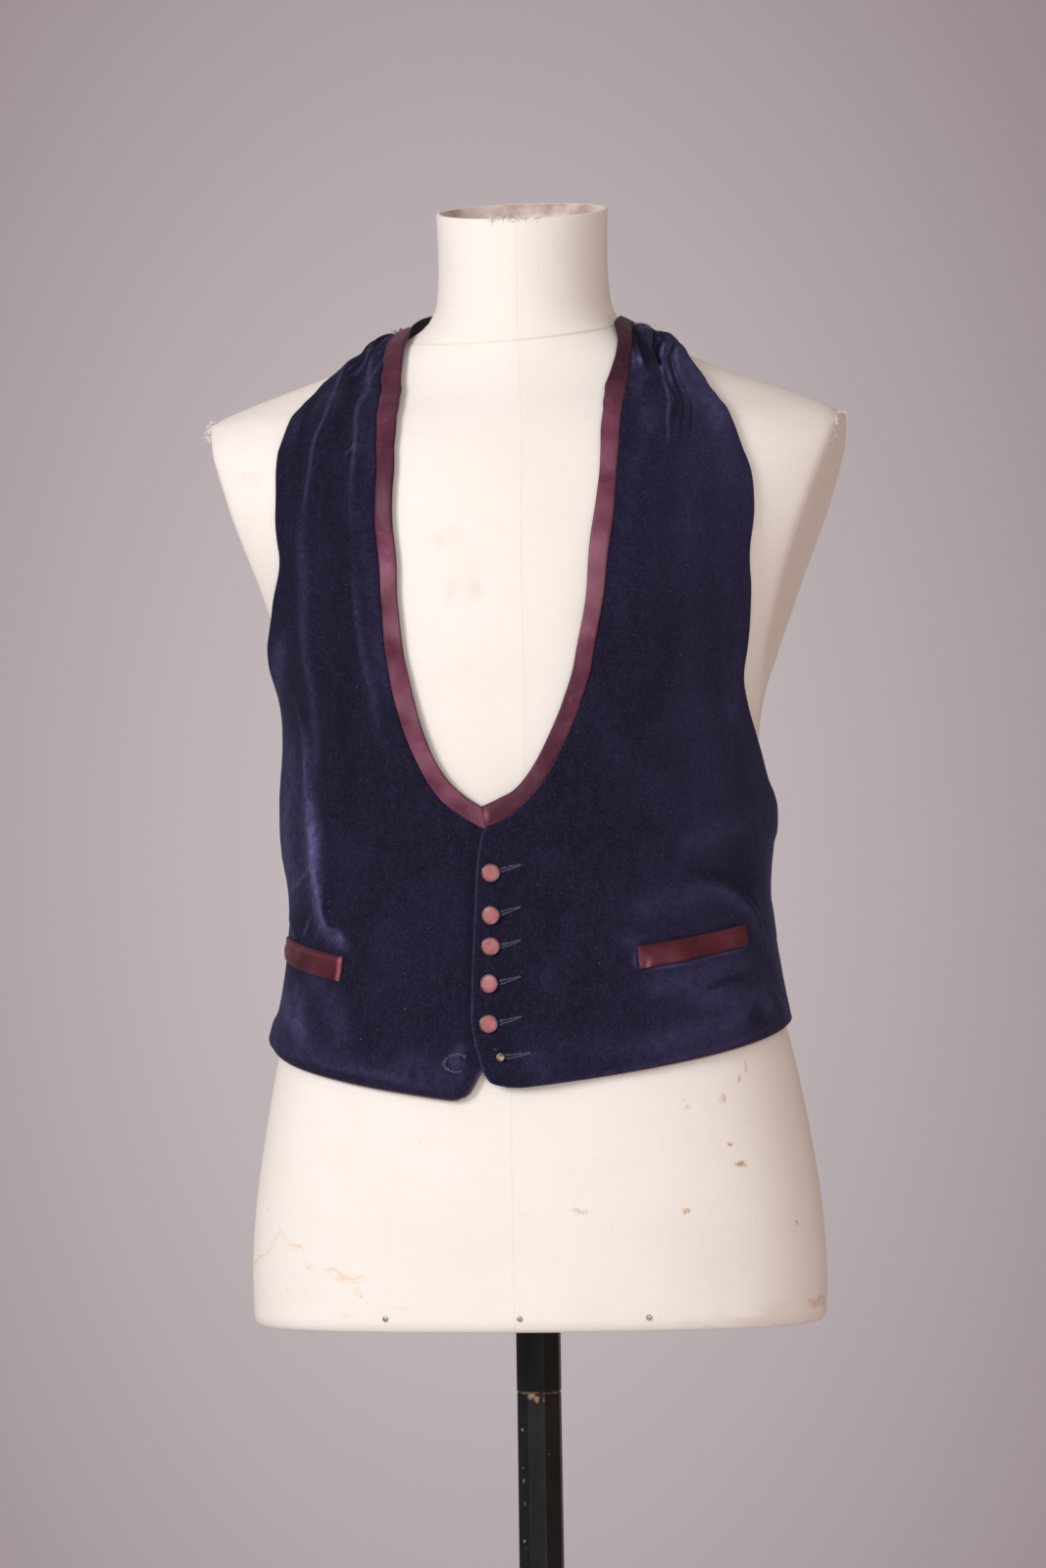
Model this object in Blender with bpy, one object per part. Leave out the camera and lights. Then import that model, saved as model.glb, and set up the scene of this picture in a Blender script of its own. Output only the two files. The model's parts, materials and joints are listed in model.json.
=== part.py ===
"""Backless evening waistcoat of velvet, bound in satin, on a limbless dress form with its stand.

Sizes are in millimetres, and MM turns them into metres where a mesh is made. The origin is on the
floor on the pole's axis, +Z is up, and the front faces -Y. A place on the form is given by its turn,
in degrees round from the centre front towards +X, and by its height above the floor.
"""

import math
from collections import namedtuple

import bpy
import numpy as np

MM = 0.001
SEAM_GAP = 0.35
VELVET_THICK = 2.0
BINDING_THICK = 2.5
LEAST_CLEARANCE = 1.0

# The form: level sections from the underside to the neck
Section = namedtuple("Section", "height half_width plate front back roundness widest ease_front ease_side")
SECTIONS = (
    Section(800.0, 203.0, 230.0, 110.0, 138.0, 2.35, 10.0, 4.0, 4.0),
    Section(806.0, 205.0, 230.0, 112.0, 140.0, 2.35, 10.0, 4.0, 4.0),
    Section(840.0, 205.6, 230.0, 113.0, 143.0, 2.35, 10.0, 4.0, 4.0),
    Section(880.0, 203.0, 230.0, 114.0, 143.0, 2.35, 10.0, 5.0, 5.0),
    Section(933.0, 195.5, 230.0, 113.0, 140.0, 2.30, 10.0, 6.0, 6.0),
    Section(983.0, 186.0, 230.0, 111.0, 131.0, 2.30, 8.0, 6.0, 4.0),
    Section(1040.0, 173.0, 230.0, 108.0, 119.0, 2.25, 6.0, 5.0, 5.0),
    Section(1100.0, 164.0, 230.0, 105.0, 111.0, 2.20, 5.0, 4.0, 5.0),
    Section(1160.0, 161.0, 230.0, 105.0, 110.0, 2.20, 5.0, 4.5, 11.0),
    Section(1219.0, 163.5, 230.0, 109.0, 116.0, 2.15, 8.0, 5.0, 6.0),
    Section(1250.0, 168.5, 168.5, 113.0, 121.0, 2.10, 12.0, 4.5, 4.0),
    Section(1280.0, 182.0, 175.0, 118.0, 126.0, 2.00, 16.0, 4.0, 4.0),
    Section(1330.0, 212.0, 190.5, 121.0, 130.0, 1.95, 20.0, 4.0, 4.0),
    Section(1380.0, 242.0, 209.0, 118.0, 131.0, 1.90, 20.0, 4.0, 4.0),
    Section(1420.0, 250.0, 222.5, 105.0, 125.0, 1.80, 14.0, 4.0, 4.0),
    Section(1443.0, 235.0, 227.5, 93.0, 117.0, 1.68, 10.0, 4.5, 4.5),
    Section(1452.3, 215.0, 227.5, 87.0, 112.0, 1.60, 8.0, 4.5, 4.5),
    Section(1463.6, 186.0, 230.0, 80.0, 104.0, 1.50, 8.0, 4.5, 4.5),
    Section(1476.5, 149.0, 230.0, 73.0, 96.0, 1.55, 8.0, 4.5, 4.5),
    Section(1490.0, 115.5, 230.0, 67.5, 88.0, 1.70, 8.0, 4.0, 4.5),
    Section(1503.0, 85.0, 230.0, 64.0, 81.0, 1.90, 8.0, 3.5, 5.0),
    Section(1515.0, 68.5, 230.0, 62.0, 75.0, 2.00, 7.0, 3.5, 5.0),
    Section(1530.0, 62.0, 230.0, 60.5, 69.0, 2.00, 5.0, 4.0, 5.0),
    Section(1560.0, 60.3, 230.0, 60.0, 65.0, 2.00, 3.0, 5.0, 5.0),
    Section(1610.0, 61.8, 230.0, 61.0, 63.0, 2.00, 1.0, 5.0, 5.0),
)
FORM_LEVELS = (
    800, 806, 840, 880, 933, 983, 1040, 1100, 1160, 1219, 1250, 1280, 1305, 1330, 1355, 1380, 1400,
    1420, 1443, 1452.3, 1463.6, 1476.5, 1490, 1503, 1515, 1530, 1560,
)
FRONT_COLUMNS = 11
PLATE_COLUMNS = 4
PLATE_TURNED = 0.04
WIDEST_PLATE_TURN = 78.0
RIM_HEIGHT = 1594.5
RIM_SLOPE = 9.3
RIM_ROUND = 1.6
NECK_WALL = 7.0
RECESS_FLOOR = 1563.0

# Each velvet front, from the hem to the shoulder: its inner line and its outer edge
Row = namedtuple("Row", "seam_turn seam_height edge_turn edge_height")
BoundRow = namedtuple("BoundRow", "seam_turn seam_height edge_turn edge_height inner_turn inner_height")
UPPER_CLOSING = (
    Row(-1.2, 970.8, 90.0, 1013.5),
    Row(-3.2, 977.0, 90.3, 1021.0),
    Row(-5.2, 996.0, 91.0, 1037.0),
    Row(-6.8, 1022.0, 92.0, 1058.0),
    Row(-7.1, 1075.0, 93.5, 1098.0),
    Row(-6.6, 1120.0, 96.0, 1130.0),
    Row(-5.2, 1150.0, 97.0, 1150.0),
)
UPPER_BOUND = (
    BoundRow(-4.2, 1155.0, 96.0, 1160.0, -5.0, 1169.8),
    BoundRow(-1.7, 1158.5, 92.0, 1170.0, -1.8, 1174.8),
    BoundRow(1.9, 1167.4, 85.3, 1187.7, 1.3, 1181.4),
    BoundRow(6.9, 1183.9, 80.5, 1206.0, 4.6, 1194.0),
    BoundRow(13.4, 1218.1, 70.5, 1240.0, 10.0, 1224.0),
    BoundRow(16.9, 1242.2, 64.8, 1262.0, 13.0, 1245.0),
    BoundRow(19.7, 1270.9, 61.0, 1285.0, 15.8, 1272.0),
    BoundRow(20.5, 1313.0, 54.5, 1318.0, 17.0, 1314.0),
    BoundRow(19.9, 1355.9, 47.8, 1356.5, 16.4, 1357.0),
    BoundRow(20.3, 1400.0, 44.7, 1401.0, 17.5, 1401.0),
    BoundRow(21.4, 1425.0, 42.7, 1425.0, 18.3, 1425.0),
    BoundRow(24.2, 1443.8, 44.2, 1443.0, 21.0, 1444.5),
    BoundRow(30.3, 1458.7, 48.5, 1456.5, 26.0, 1459.0),
    BoundRow(38.2, 1475.3, 57.0, 1471.5, 33.4, 1475.5),
    BoundRow(47.0, 1489.0, 67.0, 1483.0, 41.5, 1489.5),
    BoundRow(57.3, 1497.6, 82.0, 1491.0, 51.0, 1499.5),
    BoundRow(68.0, 1503.0, 95.0, 1495.5, 60.5, 1508.0),
    BoundRow(78.0, 1506.0, 106.0, 1497.0, 73.0, 1513.0),
)
UNDER_CLOSING = (
    Row(-7.3, 962.4, -90.0, 1003.0),
    Row(-5.6, 974.4, -90.3, 1012.0),
    Row(-4.0, 986.0, -90.8, 1024.0),
    Row(-1.0, 1003.0, -91.6, 1040.0),
    Row(1.0, 1035.0, -92.5, 1066.0),
    Row(1.0, 1090.0, -94.0, 1100.0),
    Row(0.0, 1130.0, -96.0, 1130.0),
    Row(-1.8, 1149.0, -97.0, 1150.0),
)
UNDER_BOUND = (
    BoundRow(-3.6, 1152.5, -96.0, 1158.0, -3.7, 1165.5),
    BoundRow(-6.3, 1156.6, -93.0, 1168.0, -5.4, 1170.2),
    BoundRow(-10.4, 1164.5, -90.0, 1184.0, -8.6, 1176.8),
    BoundRow(-14.9, 1175.2, -88.0, 1198.0, -12.2, 1186.5),
    BoundRow(-20.6, 1200.4, -86.0, 1221.0, -16.3, 1204.0),
    BoundRow(-25.0, 1230.0, -84.0, 1246.0, -20.0, 1232.0),
    BoundRow(-27.1, 1257.6, -79.0, 1266.0, -22.0, 1259.0),
    BoundRow(-27.3, 1276.8, -71.0, 1285.0, -22.8, 1278.0),
    BoundRow(-25.5, 1311.8, -58.0, 1314.0, -21.8, 1313.0),
    BoundRow(-23.5, 1352.0, -46.5, 1353.0, -20.0, 1353.0),
    BoundRow(-22.7, 1400.0, -43.3, 1400.0, -19.6, 1401.0),
    BoundRow(-23.9, 1425.0, -43.3, 1424.0, -20.6, 1425.0),
    BoundRow(-27.2, 1443.8, -45.5, 1442.5, -23.4, 1444.5),
    BoundRow(-33.2, 1458.5, -50.5, 1456.0, -28.8, 1459.0),
    BoundRow(-40.2, 1471.3, -60.0, 1471.5, -35.5, 1473.5),
    BoundRow(-49.0, 1484.5, -70.0, 1483.5, -43.5, 1488.0),
    BoundRow(-60.0, 1493.5, -85.0, 1490.5, -53.0, 1497.0),
    BoundRow(-70.0, 1498.5, -96.0, 1494.0, -63.0, 1503.0),
    BoundRow(-80.0, 1501.5, -106.0, 1495.5, -75.0, 1507.0),
)
ROW_SPACING = 19.0
FRONT_WIDE = 21
BINDING_WIDE = 3

# Folds that stand out from the velvet, or sink into it where rise is below nought
Fold = namedtuple("Fold", "turns heights rise reach")
UNDER_FOLDS = (
    Fold((-76.0, -49.6, -34.3, -33.7, -35.2), (1492, 1469, 1441, 1411, 1382), 3.2, 7.0),
    Fold((-35.2, -40.4, -47.3, -54.2), (1395, 1340, 1297, 1255), 2.2, 12.0),
    Fold((-70.0, -46.9, -32.0, -26.3, -26.7), (1495, 1477, 1450, 1424, 1385), 2.6, 5.0),
    Fold((-26.7, -28.4, -30.6, -33.7), (1400, 1365, 1330, 1268), 1.8, 9.0),
    Fold((-92.0, -66.0, -45.3), (1493, 1485, 1470), -3.0, 4.0),
    Fold((-86.0, -60.0, -39.6), (1496, 1484, 1461), -2.5, 3.5),
    Fold((-95.0, -78.0), (1492, 1498), 5.0, 16.0),
    Fold((-58.6, -56.3, -53.9, -44.6), (1205, 1152, 1108, 1076), 2.4, 12.0),
    Fold((-70.0, -80.0, -86.0, -86.0, -84.0), (1325, 1275, 1225, 1160, 1085), 7.5, 34.0),
    Fold((-93.0, -88.0), (1015, 985), 6.0, 24.0),
    Fold((-70.0, -60.0), (1125, 1065), -1.6, 12.0),
)
UPPER_FOLDS = (
    Fold((80.0, 59.5, 41.2), (1501, 1495, 1471), 2.6, 4.5),
    Fold((88.0, 70.0, 46.5), (1498, 1490, 1472), 2.8, 4.5),
    Fold((84.0, 62.0, 43.0, 29.4), (1500, 1492, 1466, 1425), -2.4, 3.5),
    Fold((50.0, 36.0, 29.0, 28.0), (1483, 1455, 1425, 1370), 1.8, 8.0),
    Fold((96.0, 80.0), (1496, 1501), 1.5, 12.0),
    Fold((47.6, 60.6, 71.3, 75.8), (1117, 1112, 1097, 1075), 2.6, 8.0),
    Fold((44.6, 55.7, 69.5), (1130, 1124, 1112), -2.0, 9.0),
    Fold((92.0, 92.0), (1185, 1140), 2.5, 20.0),
    Fold((86.0, 80.0), (1020, 985), 1.0, 22.0),
    Fold((34.0, 36.0, 40.0), (1330, 1270, 1200), 1.5, 16.0),
)
OVERLAP_LIFT = 3.0
LIFT_FULL_TURN = 4.0
LIFT_NO_TURN = 17.0
LIFT_FULL_HEIGHT = 1174.0
LIFT_NO_HEIGHT = 1200.0

# Pocket welts, button line and shank, in places on the velvet
Welt = namedtuple("Welt", "name inner_turn inner_top inner_bottom outer_turn outer_top outer_bottom")
WELTS = (
    Welt("left_welt", 28.6, 1069.4, 1053.4, 65.8, 1082.8, 1068.6),
    Welt("right_welt", -42.2, 1063.9, 1046.3, -79.0, 1077.4, 1061.0),
)
WELT_THICK = 1.6
WELT_GAP = 0.8
WELT_COLUMNS = 9
BUTTON_TURN = -3.1
BUTTON_HEIGHTS = (1123.1, 1093.1, 1070.9, 1044.8, 1016.7)
BUTTON_RADIUS = 6.6
BUTTON_PROFILE = ((6.2, 0.0), (6.6, 0.6), (6.6, 1.9), (6.0, 2.6), (5.2, 2.3))
BUTTON_SIDES = 18
SHANK_TURN = -1.0
SHANK_HEIGHT = 993.3
SHANK_PROFILE = ((2.6, 0.0), (3.1, 0.5), (3.1, 2.0), (2.7, 2.5), (1.6, 2.5), (1.5, 1.0))
SHANK_SIDES = 14

# Straps, in places on the form with the room under them
StrapStop = namedtuple("StrapStop", "turn height room")
NECK_STRAP = (
    StrapStop(-106.5, 1498.0, 9.0),
    StrapStop(-114.0, 1502.0, 6.5),
    StrapStop(-128.0, 1508.0, 3.0),
    StrapStop(-150.0, 1513.0, 0.9),
    StrapStop(-180.0, 1515.0, 0.7),
    StrapStop(-210.0, 1514.0, 0.9),
    StrapStop(-232.0, 1509.5, 3.0),
    StrapStop(-246.0, 1504.0, 6.5),
    StrapStop(-252.0, 1501.5, 9.0),
)
NECK_STRAP_WIDE = 12.0
NECK_STRAP_THICK = 1.6
NECK_STRAP_PIECES = 34
WAIST_STRAP = (
    StrapStop(94.2, 1085.0, 5.8),
    StrapStop(104.0, 1084.0, 4.5),
    StrapStop(122.0, 1083.0, 2.8),
    StrapStop(180.0, 1082.0, 2.3),
    StrapStop(238.0, 1083.0, 2.8),
    StrapStop(256.0, 1084.0, 5.0),
    StrapStop(265.6, 1085.0, 8.5),
)
WAIST_STRAP_WIDE = 28.0
WAIST_STRAP_THICK = 1.8
WAIST_STRAP_PIECES = 30
RING_RADIUS = 2.3
RING_WIRE = 0.55
RING_SHARE = 0.02
RING_SHIFT = 2.0
RING_PIECES = 16
SLIDE_WIRE = 0.6
SLIDE_SHARE = 0.045
SLIDE_ROOM = 0.5
WIRE_SIDES = 6

# The nail heads, the pole and its base
TACK_TURNS = (-23.3, 0.5, 23.5)
TACK_HEIGHT = 810.0
TACK_PROFILE = ((2.1, 0.0), (2.1, 0.5), (1.5, 1.1))
TACK_SIDES = 12
POLE_ACROSS = 30.6
POLE_JOINT = 751.0
POLE_TOP = 799.7
LOWER_POLE_ACROSS_TOP = 30.2
LOWER_POLE_ACROSS_FOOT = 33.5
POLE_SIDES = 8
BASE_PROFILE = (
    (197.0, 0.0), (200.0, 3.0), (200.0, 10.0), (196.0, 14.0), (120.0, 17.0), (44.0, 22.0),
    (30.0, 30.0), (27.0, 40.0), (27.0, 62.0), (24.5, 64.0),
)
BASE_SIDES = 56
FULL_TURN = 360.0


def clear_scene():
    for old in list(bpy.data.objects):
        bpy.data.objects.remove(old, do_unlink=True)


def finish(name, colour, roughness, metallic=0.0):
    material = bpy.data.materials.new(name)
    material.use_nodes = True
    shader = material.node_tree.nodes["Principled BSDF"]
    shader.inputs["Base Color"].default_value = (*colour, 1.0)
    shader.inputs["Roughness"].default_value = roughness
    shader.inputs["Metallic"].default_value = metallic
    return material


def slopes(places, values):
    """Slopes at the given places for a curve that never overshoots its values."""
    steps = np.diff(places)
    rates = np.diff(values) / steps
    found = np.zeros(len(places))
    found[0], found[-1] = rates[0], rates[-1]
    for i in range(1, len(places) - 1):
        if rates[i - 1] * rates[i] > 0:
            before = 2 * steps[i] + steps[i - 1]
            after = steps[i] + 2 * steps[i - 1]
            found[i] = (before + after) / (before / rates[i - 1] + after / rates[i])
    return found


class SmoothLine:
    """A value that runs smoothly through the given values at rising places."""

    def __init__(self, places, values):
        self.places = np.asarray(places, float)
        self.values = np.asarray(values, float)
        self.slopes = slopes(self.places, self.values)

    def __call__(self, place):
        last = len(self.places) - 2
        i = int(np.clip(np.searchsorted(self.places, place) - 1, 0, last))
        step = self.places[i + 1] - self.places[i]
        t = min(max((place - self.places[i]) / step, 0.0), 1.0)
        start = (1 + 2 * t) * (1 - t) ** 2 * self.values[i]
        leave = t * (1 - t) ** 2 * step * self.slopes[i]
        end = t * t * (3 - 2 * t) * self.values[i + 1]
        arrive = t * t * (t - 1) * step * self.slopes[i + 1]
        return start + leave + end + arrive


LEVELS = [section.height for section in SECTIONS]
FORM = {
    field: SmoothLine(LEVELS, [getattr(section, field) for section in SECTIONS])
    for field in Section._fields
    if field not in ("height", "plate")
}


def plate_at(height):
    return float(np.interp(height, LEVELS, [section.plate for section in SECTIONS]))


def on_form(turn, height, level=None):
    """The point of the form's full section at a turn; level is the section's height where it differs."""
    level = height if level is None else level
    power = 2 / FORM["roundness"](level)
    sine = math.sin(math.radians(turn))
    cosine = math.cos(math.radians(turn))
    widest = FORM["widest"](level)
    x = FORM["half_width"](level) * abs(sine) ** power * math.copysign(1, sine)
    reach = abs(cosine) ** power
    if cosine >= 0:
        y = widest - (FORM["front"](level) + widest) * reach
    else:
        y = widest + (FORM["back"](level) - widest) * reach
    return np.array([x, y, height])


def form_normal(turn, height):
    step = 0.6
    round_it = on_form(turn + step, height) - on_form(turn - step, height)
    up_it = on_form(turn, height + step) - on_form(turn, height - step)
    outward = np.cross(round_it, up_it)
    return outward / np.linalg.norm(outward)


class FoldLine:
    """A soft ridge or trough along a path on the form."""

    def __init__(self, fold, pieces=14):
        stops = np.linspace(0, 1, len(fold.turns))
        turn = SmoothLine(stops, fold.turns)
        height = SmoothLine(stops, fold.heights)
        self.points = np.array([on_form(turn(t), height(t)) for t in np.linspace(0, 1, pieces)])
        self.rise = fold.rise
        self.reach = fold.reach

    def at(self, point):
        starts = self.points[:-1]
        runs = self.points[1:] - starts
        along = np.clip(((point - starts) * runs).sum(1) / (runs * runs).sum(1), 0, 1)
        gaps = np.linalg.norm(starts + runs * along[:, None] - point, axis=1)
        i = int(gaps.argmin())
        t = (i + along[i]) / len(starts)
        fade = min(1.0, 4 * t + 0.35, 4 * (1 - t) + 0.35)
        return self.rise * fade * math.exp(-((gaps[i] / self.reach) ** 2))


def ease(turn, height):
    side = math.sin(math.radians(turn)) ** 2
    return FORM["ease_front"](height) * (1 - side) + FORM["ease_side"](height) * side


def fade_between(value, full, none):
    t = min(max((value - full) / (none - full), 0.0), 1.0)
    return 1 - t * t * (3 - 2 * t)


def overlap_lift(turn, height):
    """How far the upper front is lifted where it lies over the under front."""
    across = fade_between(turn, LIFT_FULL_TURN, LIFT_NO_TURN)
    up = fade_between(height, LIFT_FULL_HEIGHT, LIFT_NO_HEIGHT)
    return OVERLAP_LIFT * across * up


class Velvet:
    """The inner side of one front: the form's surface, its ease and its folds."""

    def __init__(self, folds, is_upper):
        self.folds = [FoldLine(fold) for fold in folds]
        self.is_upper = is_upper

    def room(self, turn, height):
        point = on_form(turn, height)
        room = ease(turn, height) + sum(fold.at(point) for fold in self.folds)
        if self.is_upper:
            room += overlap_lift(turn, height)
        return max(room, LEAST_CLEARANCE)

    def point(self, turn, height, out=0.0):
        return on_form(turn, height) + form_normal(turn, height) * (self.room(turn, height) + out)


def stations(rows):
    """Places of the rows along a front, by how far its two edges move between them."""
    seams = np.array([on_form(row.seam_turn, row.seam_height) for row in rows])
    edges = np.array([on_form(row.edge_turn, row.edge_height) for row in rows])
    moved = np.linalg.norm(np.diff(seams, axis=0), axis=1) + np.linalg.norm(np.diff(edges, axis=0), axis=1)
    return np.concatenate([[0.0], np.cumsum(moved / 2)])


def rows_along(rows, spacing):
    """Rows read smoothly between the table's own rows, about spacing apart."""
    places = stations(rows)
    fields = rows[0]._fields
    lines = {field: SmoothLine(places, [getattr(row, field) for row in rows]) for field in fields}
    at = [places[0]]
    for start, end in zip(places, places[1:]):
        pieces = max(1, round((end - start) / spacing))
        at.extend(start + (end - start) * (i + 1) / pieces for i in range(pieces))
    return [type(rows[0])(*(lines[field](place) for field in fields)) for place in at]


def wall(name, inner, thick, material, bow=0.0):
    """A closed wall from its inner side's points and normals, in rows and columns."""
    points, normals = inner
    rows, columns = points.shape[:2]
    across = np.linspace(0, 1, columns)
    heights = thick + bow * 4 * across * (1 - across)
    outer = points + normals * heights[None, :, None]
    vertices = np.concatenate([outer.reshape(-1, 3), points.reshape(-1, 3)])
    inside = rows * columns
    faces = []
    for i in range(rows - 1):
        for j in range(columns - 1):
            a = i * columns + j
            b, c, d = a + 1, a + columns + 1, a + columns
            faces.append((a, b, c, d))
            faces.append((a + inside, d + inside, c + inside, b + inside))
    loop = [j for j in range(columns)]
    loop += [i * columns + columns - 1 for i in range(1, rows)]
    loop += [(rows - 1) * columns + j for j in range(columns - 2, -1, -1)]
    loop += [i * columns for i in range(rows - 2, 0, -1)]
    for a, b in zip(loop, loop[1:] + loop[:1]):
        faces.append((b, a, a + inside, b + inside))
    return solid(name, vertices, faces, material)


def solid(name, vertices, faces, material):
    """An object of this mesh with its faces turned outwards."""
    corners = np.asarray(vertices, float)
    volume = 0.0
    for face in faces:
        first = corners[face[0]]
        for i in range(1, len(face) - 1):
            volume += np.dot(first, np.cross(corners[face[i]], corners[face[i + 1]]))
    if volume < 0:
        faces = [tuple(reversed(face)) for face in faces]
    mesh = bpy.data.meshes.new(name)
    mesh.from_pydata([tuple(point) for point in corners * MM], [], faces)
    mesh.shade_smooth()
    mesh.set_sharp_from_angle(angle=math.radians(50))
    mesh.materials.append(material)
    made = bpy.data.objects.new(name, mesh)
    bpy.context.scene.collection.objects.link(made)
    return made


def loft(name, rings, material):
    """A closed solid through rings of equal count, with a flat face at each end."""
    count = len(rings[0])
    faces = []
    for level in range(len(rings) - 1):
        for i in range(count):
            a, b = level * count + i, level * count + (i + 1) % count
            faces.append((a, b, b + count, a + count))
    faces.append(tuple(reversed(range(count))))
    faces.append(tuple(range((len(rings) - 1) * count, len(rings) * count)))
    return solid(name, np.concatenate(rings), faces, material)


def turned(name, profile, sides, centre, outward, material):
    """A turned solid: the profile gives radius and height along outward from centre."""
    outward = outward / np.linalg.norm(outward)
    level = np.cross(outward, (0.0, 0.0, 1.0))
    if np.linalg.norm(level) < 0.1:
        level = np.array([1.0, 0.0, 0.0])
    level = level / np.linalg.norm(level)
    upright = np.cross(level, outward)
    angles = np.radians(np.arange(sides) * FULL_TURN / sides)
    round_it = np.cos(angles)[:, None] * level + np.sin(angles)[:, None] * upright
    rings = [centre + outward * height + round_it * radius for radius, height in profile]
    return loft(name, rings, material)


def form_turns(level):
    """The turns of the columns round a section, with the arm plate's edges on columns."""
    share = min(plate_at(level) / FORM["half_width"](level), 1.0)
    edge = math.degrees(math.asin(share ** (FORM["roundness"](level) / 2)))
    edge = min(edge, WIDEST_PLATE_TURN)
    front = np.linspace(0, edge, FRONT_COLUMNS + 1)
    plate = np.linspace(edge, 180 - edge, PLATE_COLUMNS + 1)[1:]
    back = np.linspace(180 - edge, 180, FRONT_COLUMNS + 1)[1:]
    half = np.concatenate([front, plate, back])
    return np.concatenate([half, FULL_TURN - half[-2:0:-1]])


def form_ring(level):
    ring = []
    limit = plate_at(level)
    for turn in form_turns(level):
        point = on_form(turn, level)
        most = limit + PLATE_TURNED * (point[1] - FORM["widest"](level))
        point[0] = min(max(point[0], -most), most)
        ring.append(point)
    return np.array(ring)


def neck_ring(share, inset=0.0, drop=0.0):
    """A ring of the neck, from its foot at 0 to the sloping rim at 1."""
    foot = FORM_LEVELS[-1]
    ring = []
    for turn in form_turns(foot):
        rim = RIM_HEIGHT - RIM_SLOPE * math.cos(math.radians(turn))
        height = foot + (rim - foot) * share
        point = on_form(turn, height - drop, height)
        point[:2] -= form_normal(turn, height)[:2] * inset
        ring.append(point)
    return np.array(ring)


def make_form(linen):
    rings = [form_ring(level) for level in FORM_LEVELS]
    rings.append(neck_ring(0.5))
    rings.append(neck_ring(1.0, 0.0, RIM_ROUND))
    rings.append(neck_ring(1.0, RIM_ROUND))
    rings.append(neck_ring(1.0, NECK_WALL))
    floor = neck_ring(1.0, NECK_WALL)
    floor[:, 2] = RECESS_FLOOR
    rings.append(floor)
    return loft("form_torso", rings, linen)


def grid_between(rows, columns, first, last, velvet, seam_gap):
    """Points and normals between two of a row's places; first and last name the fields."""
    points, normals = [], []
    for row in rows:
        start = np.array([getattr(row, first + "_turn"), getattr(row, first + "_height")])
        end = np.array([getattr(row, last + "_turn"), getattr(row, last + "_height")])
        width = np.linalg.norm(on_form(*end) - on_form(*start))
        shares = np.linspace(seam_gap / width, 1, columns + 1)
        places = [start + (end - start) * share for share in shares]
        points.append([velvet.point(turn, height) for turn, height in places])
        normals.append([form_normal(turn, height) for turn, height in places])
    return np.array(points), np.array(normals)


def make_front(name, closing, bound, velvet, material):
    rows = [*closing, *(Row(*row[:4]) for row in bound)]
    fine = rows_along(rows, ROW_SPACING)
    wall(name, grid_between(fine, FRONT_WIDE, "seam", "edge", velvet, SEAM_GAP), VELVET_THICK, material)


def make_binding(name, bound, velvet, material):
    fine = rows_along(bound, ROW_SPACING)
    grid = grid_between(fine, BINDING_WIDE, "seam", "inner", velvet, 0.0)
    wall(name, grid, BINDING_THICK, material, bow=0.4)


def make_welt(welt, velvet, material):
    points, normals = [], []
    for share in np.linspace(0, 1, WELT_COLUMNS + 1):
        turn = welt.inner_turn + (welt.outer_turn - welt.inner_turn) * share
        top = welt.inner_top + (welt.outer_top - welt.inner_top) * share
        bottom = welt.inner_bottom + (welt.outer_bottom - welt.inner_bottom) * share
        out = VELVET_THICK + WELT_GAP
        places = [(turn, bottom), (turn, (bottom + top) / 2), (turn, top)]
        points.append([velvet.point(*place, out) for place in places])
        normals.append([form_normal(*place) for place in places])
    wall(welt.name, (np.array(points), np.array(normals)), WELT_THICK, material, bow=0.3)


def seat_out(velvet, turn, height, radius):
    """How far above the velvet's inner side a flat piece of this radius clears its outer side."""
    middle = velvet.point(turn, height)
    outward = form_normal(turn, height)
    round_it = math.degrees(radius / FORM["half_width"](height))
    places = [(turn + a * round_it, height + b * radius) for a in (-1, 0, 1) for b in (-1, 0, 1)]
    tops = [velvet.point(*place, VELVET_THICK) for place in places]
    return middle, outward, max(float(np.dot(top - middle, outward)) for top in tops)


def make_buttons(velvet, material, metal):
    for number, height in enumerate(BUTTON_HEIGHTS, 1):
        middle, outward, out = seat_out(velvet, BUTTON_TURN, height, BUTTON_RADIUS)
        centre = middle + outward * (out + SEAM_GAP)
        turned(f"button_{number}", BUTTON_PROFILE, BUTTON_SIDES, centre, outward, material)
    middle, outward, out = seat_out(velvet, SHANK_TURN, SHANK_HEIGHT, SHANK_PROFILE[1][0])
    centre = middle + outward * (out + SEAM_GAP)
    turned("button_shank", SHANK_PROFILE, SHANK_SIDES, centre, outward, metal)


class Strap:
    """A flat band along stops on the form."""

    def __init__(self, stops):
        places = np.linspace(0, 1, len(stops))
        self.lines = [SmoothLine(places, [stop[i] for stop in stops]) for i in range(3)]

    def centre(self, share):
        turn, height, room = (line(share) for line in self.lines)
        return on_form(turn, height) + form_normal(turn, height) * room

    def frame(self, share):
        """The centre, the outward direction and the direction across the band."""
        turn, height, _ = (line(share) for line in self.lines)
        step = 0.004
        run = self.centre(min(share + step, 1)) - self.centre(max(share - step, 0))
        run /= np.linalg.norm(run)
        outward = form_normal(turn, height)
        outward -= run * np.dot(outward, run)
        outward /= np.linalg.norm(outward)
        return self.centre(share), outward, np.cross(outward, run)


def make_strap(name, stops, wide, thick, pieces, material):
    strap = Strap(stops)
    points, normals = [], []
    for share in np.linspace(0, 1, pieces + 1):
        centre, outward, across = strap.frame(share)
        points.append([centre - across * wide / 2, centre, centre + across * wide / 2])
        normals.append([outward] * 3)
    wall(name, (np.array(points), np.array(normals)), thick, material)
    return strap


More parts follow.
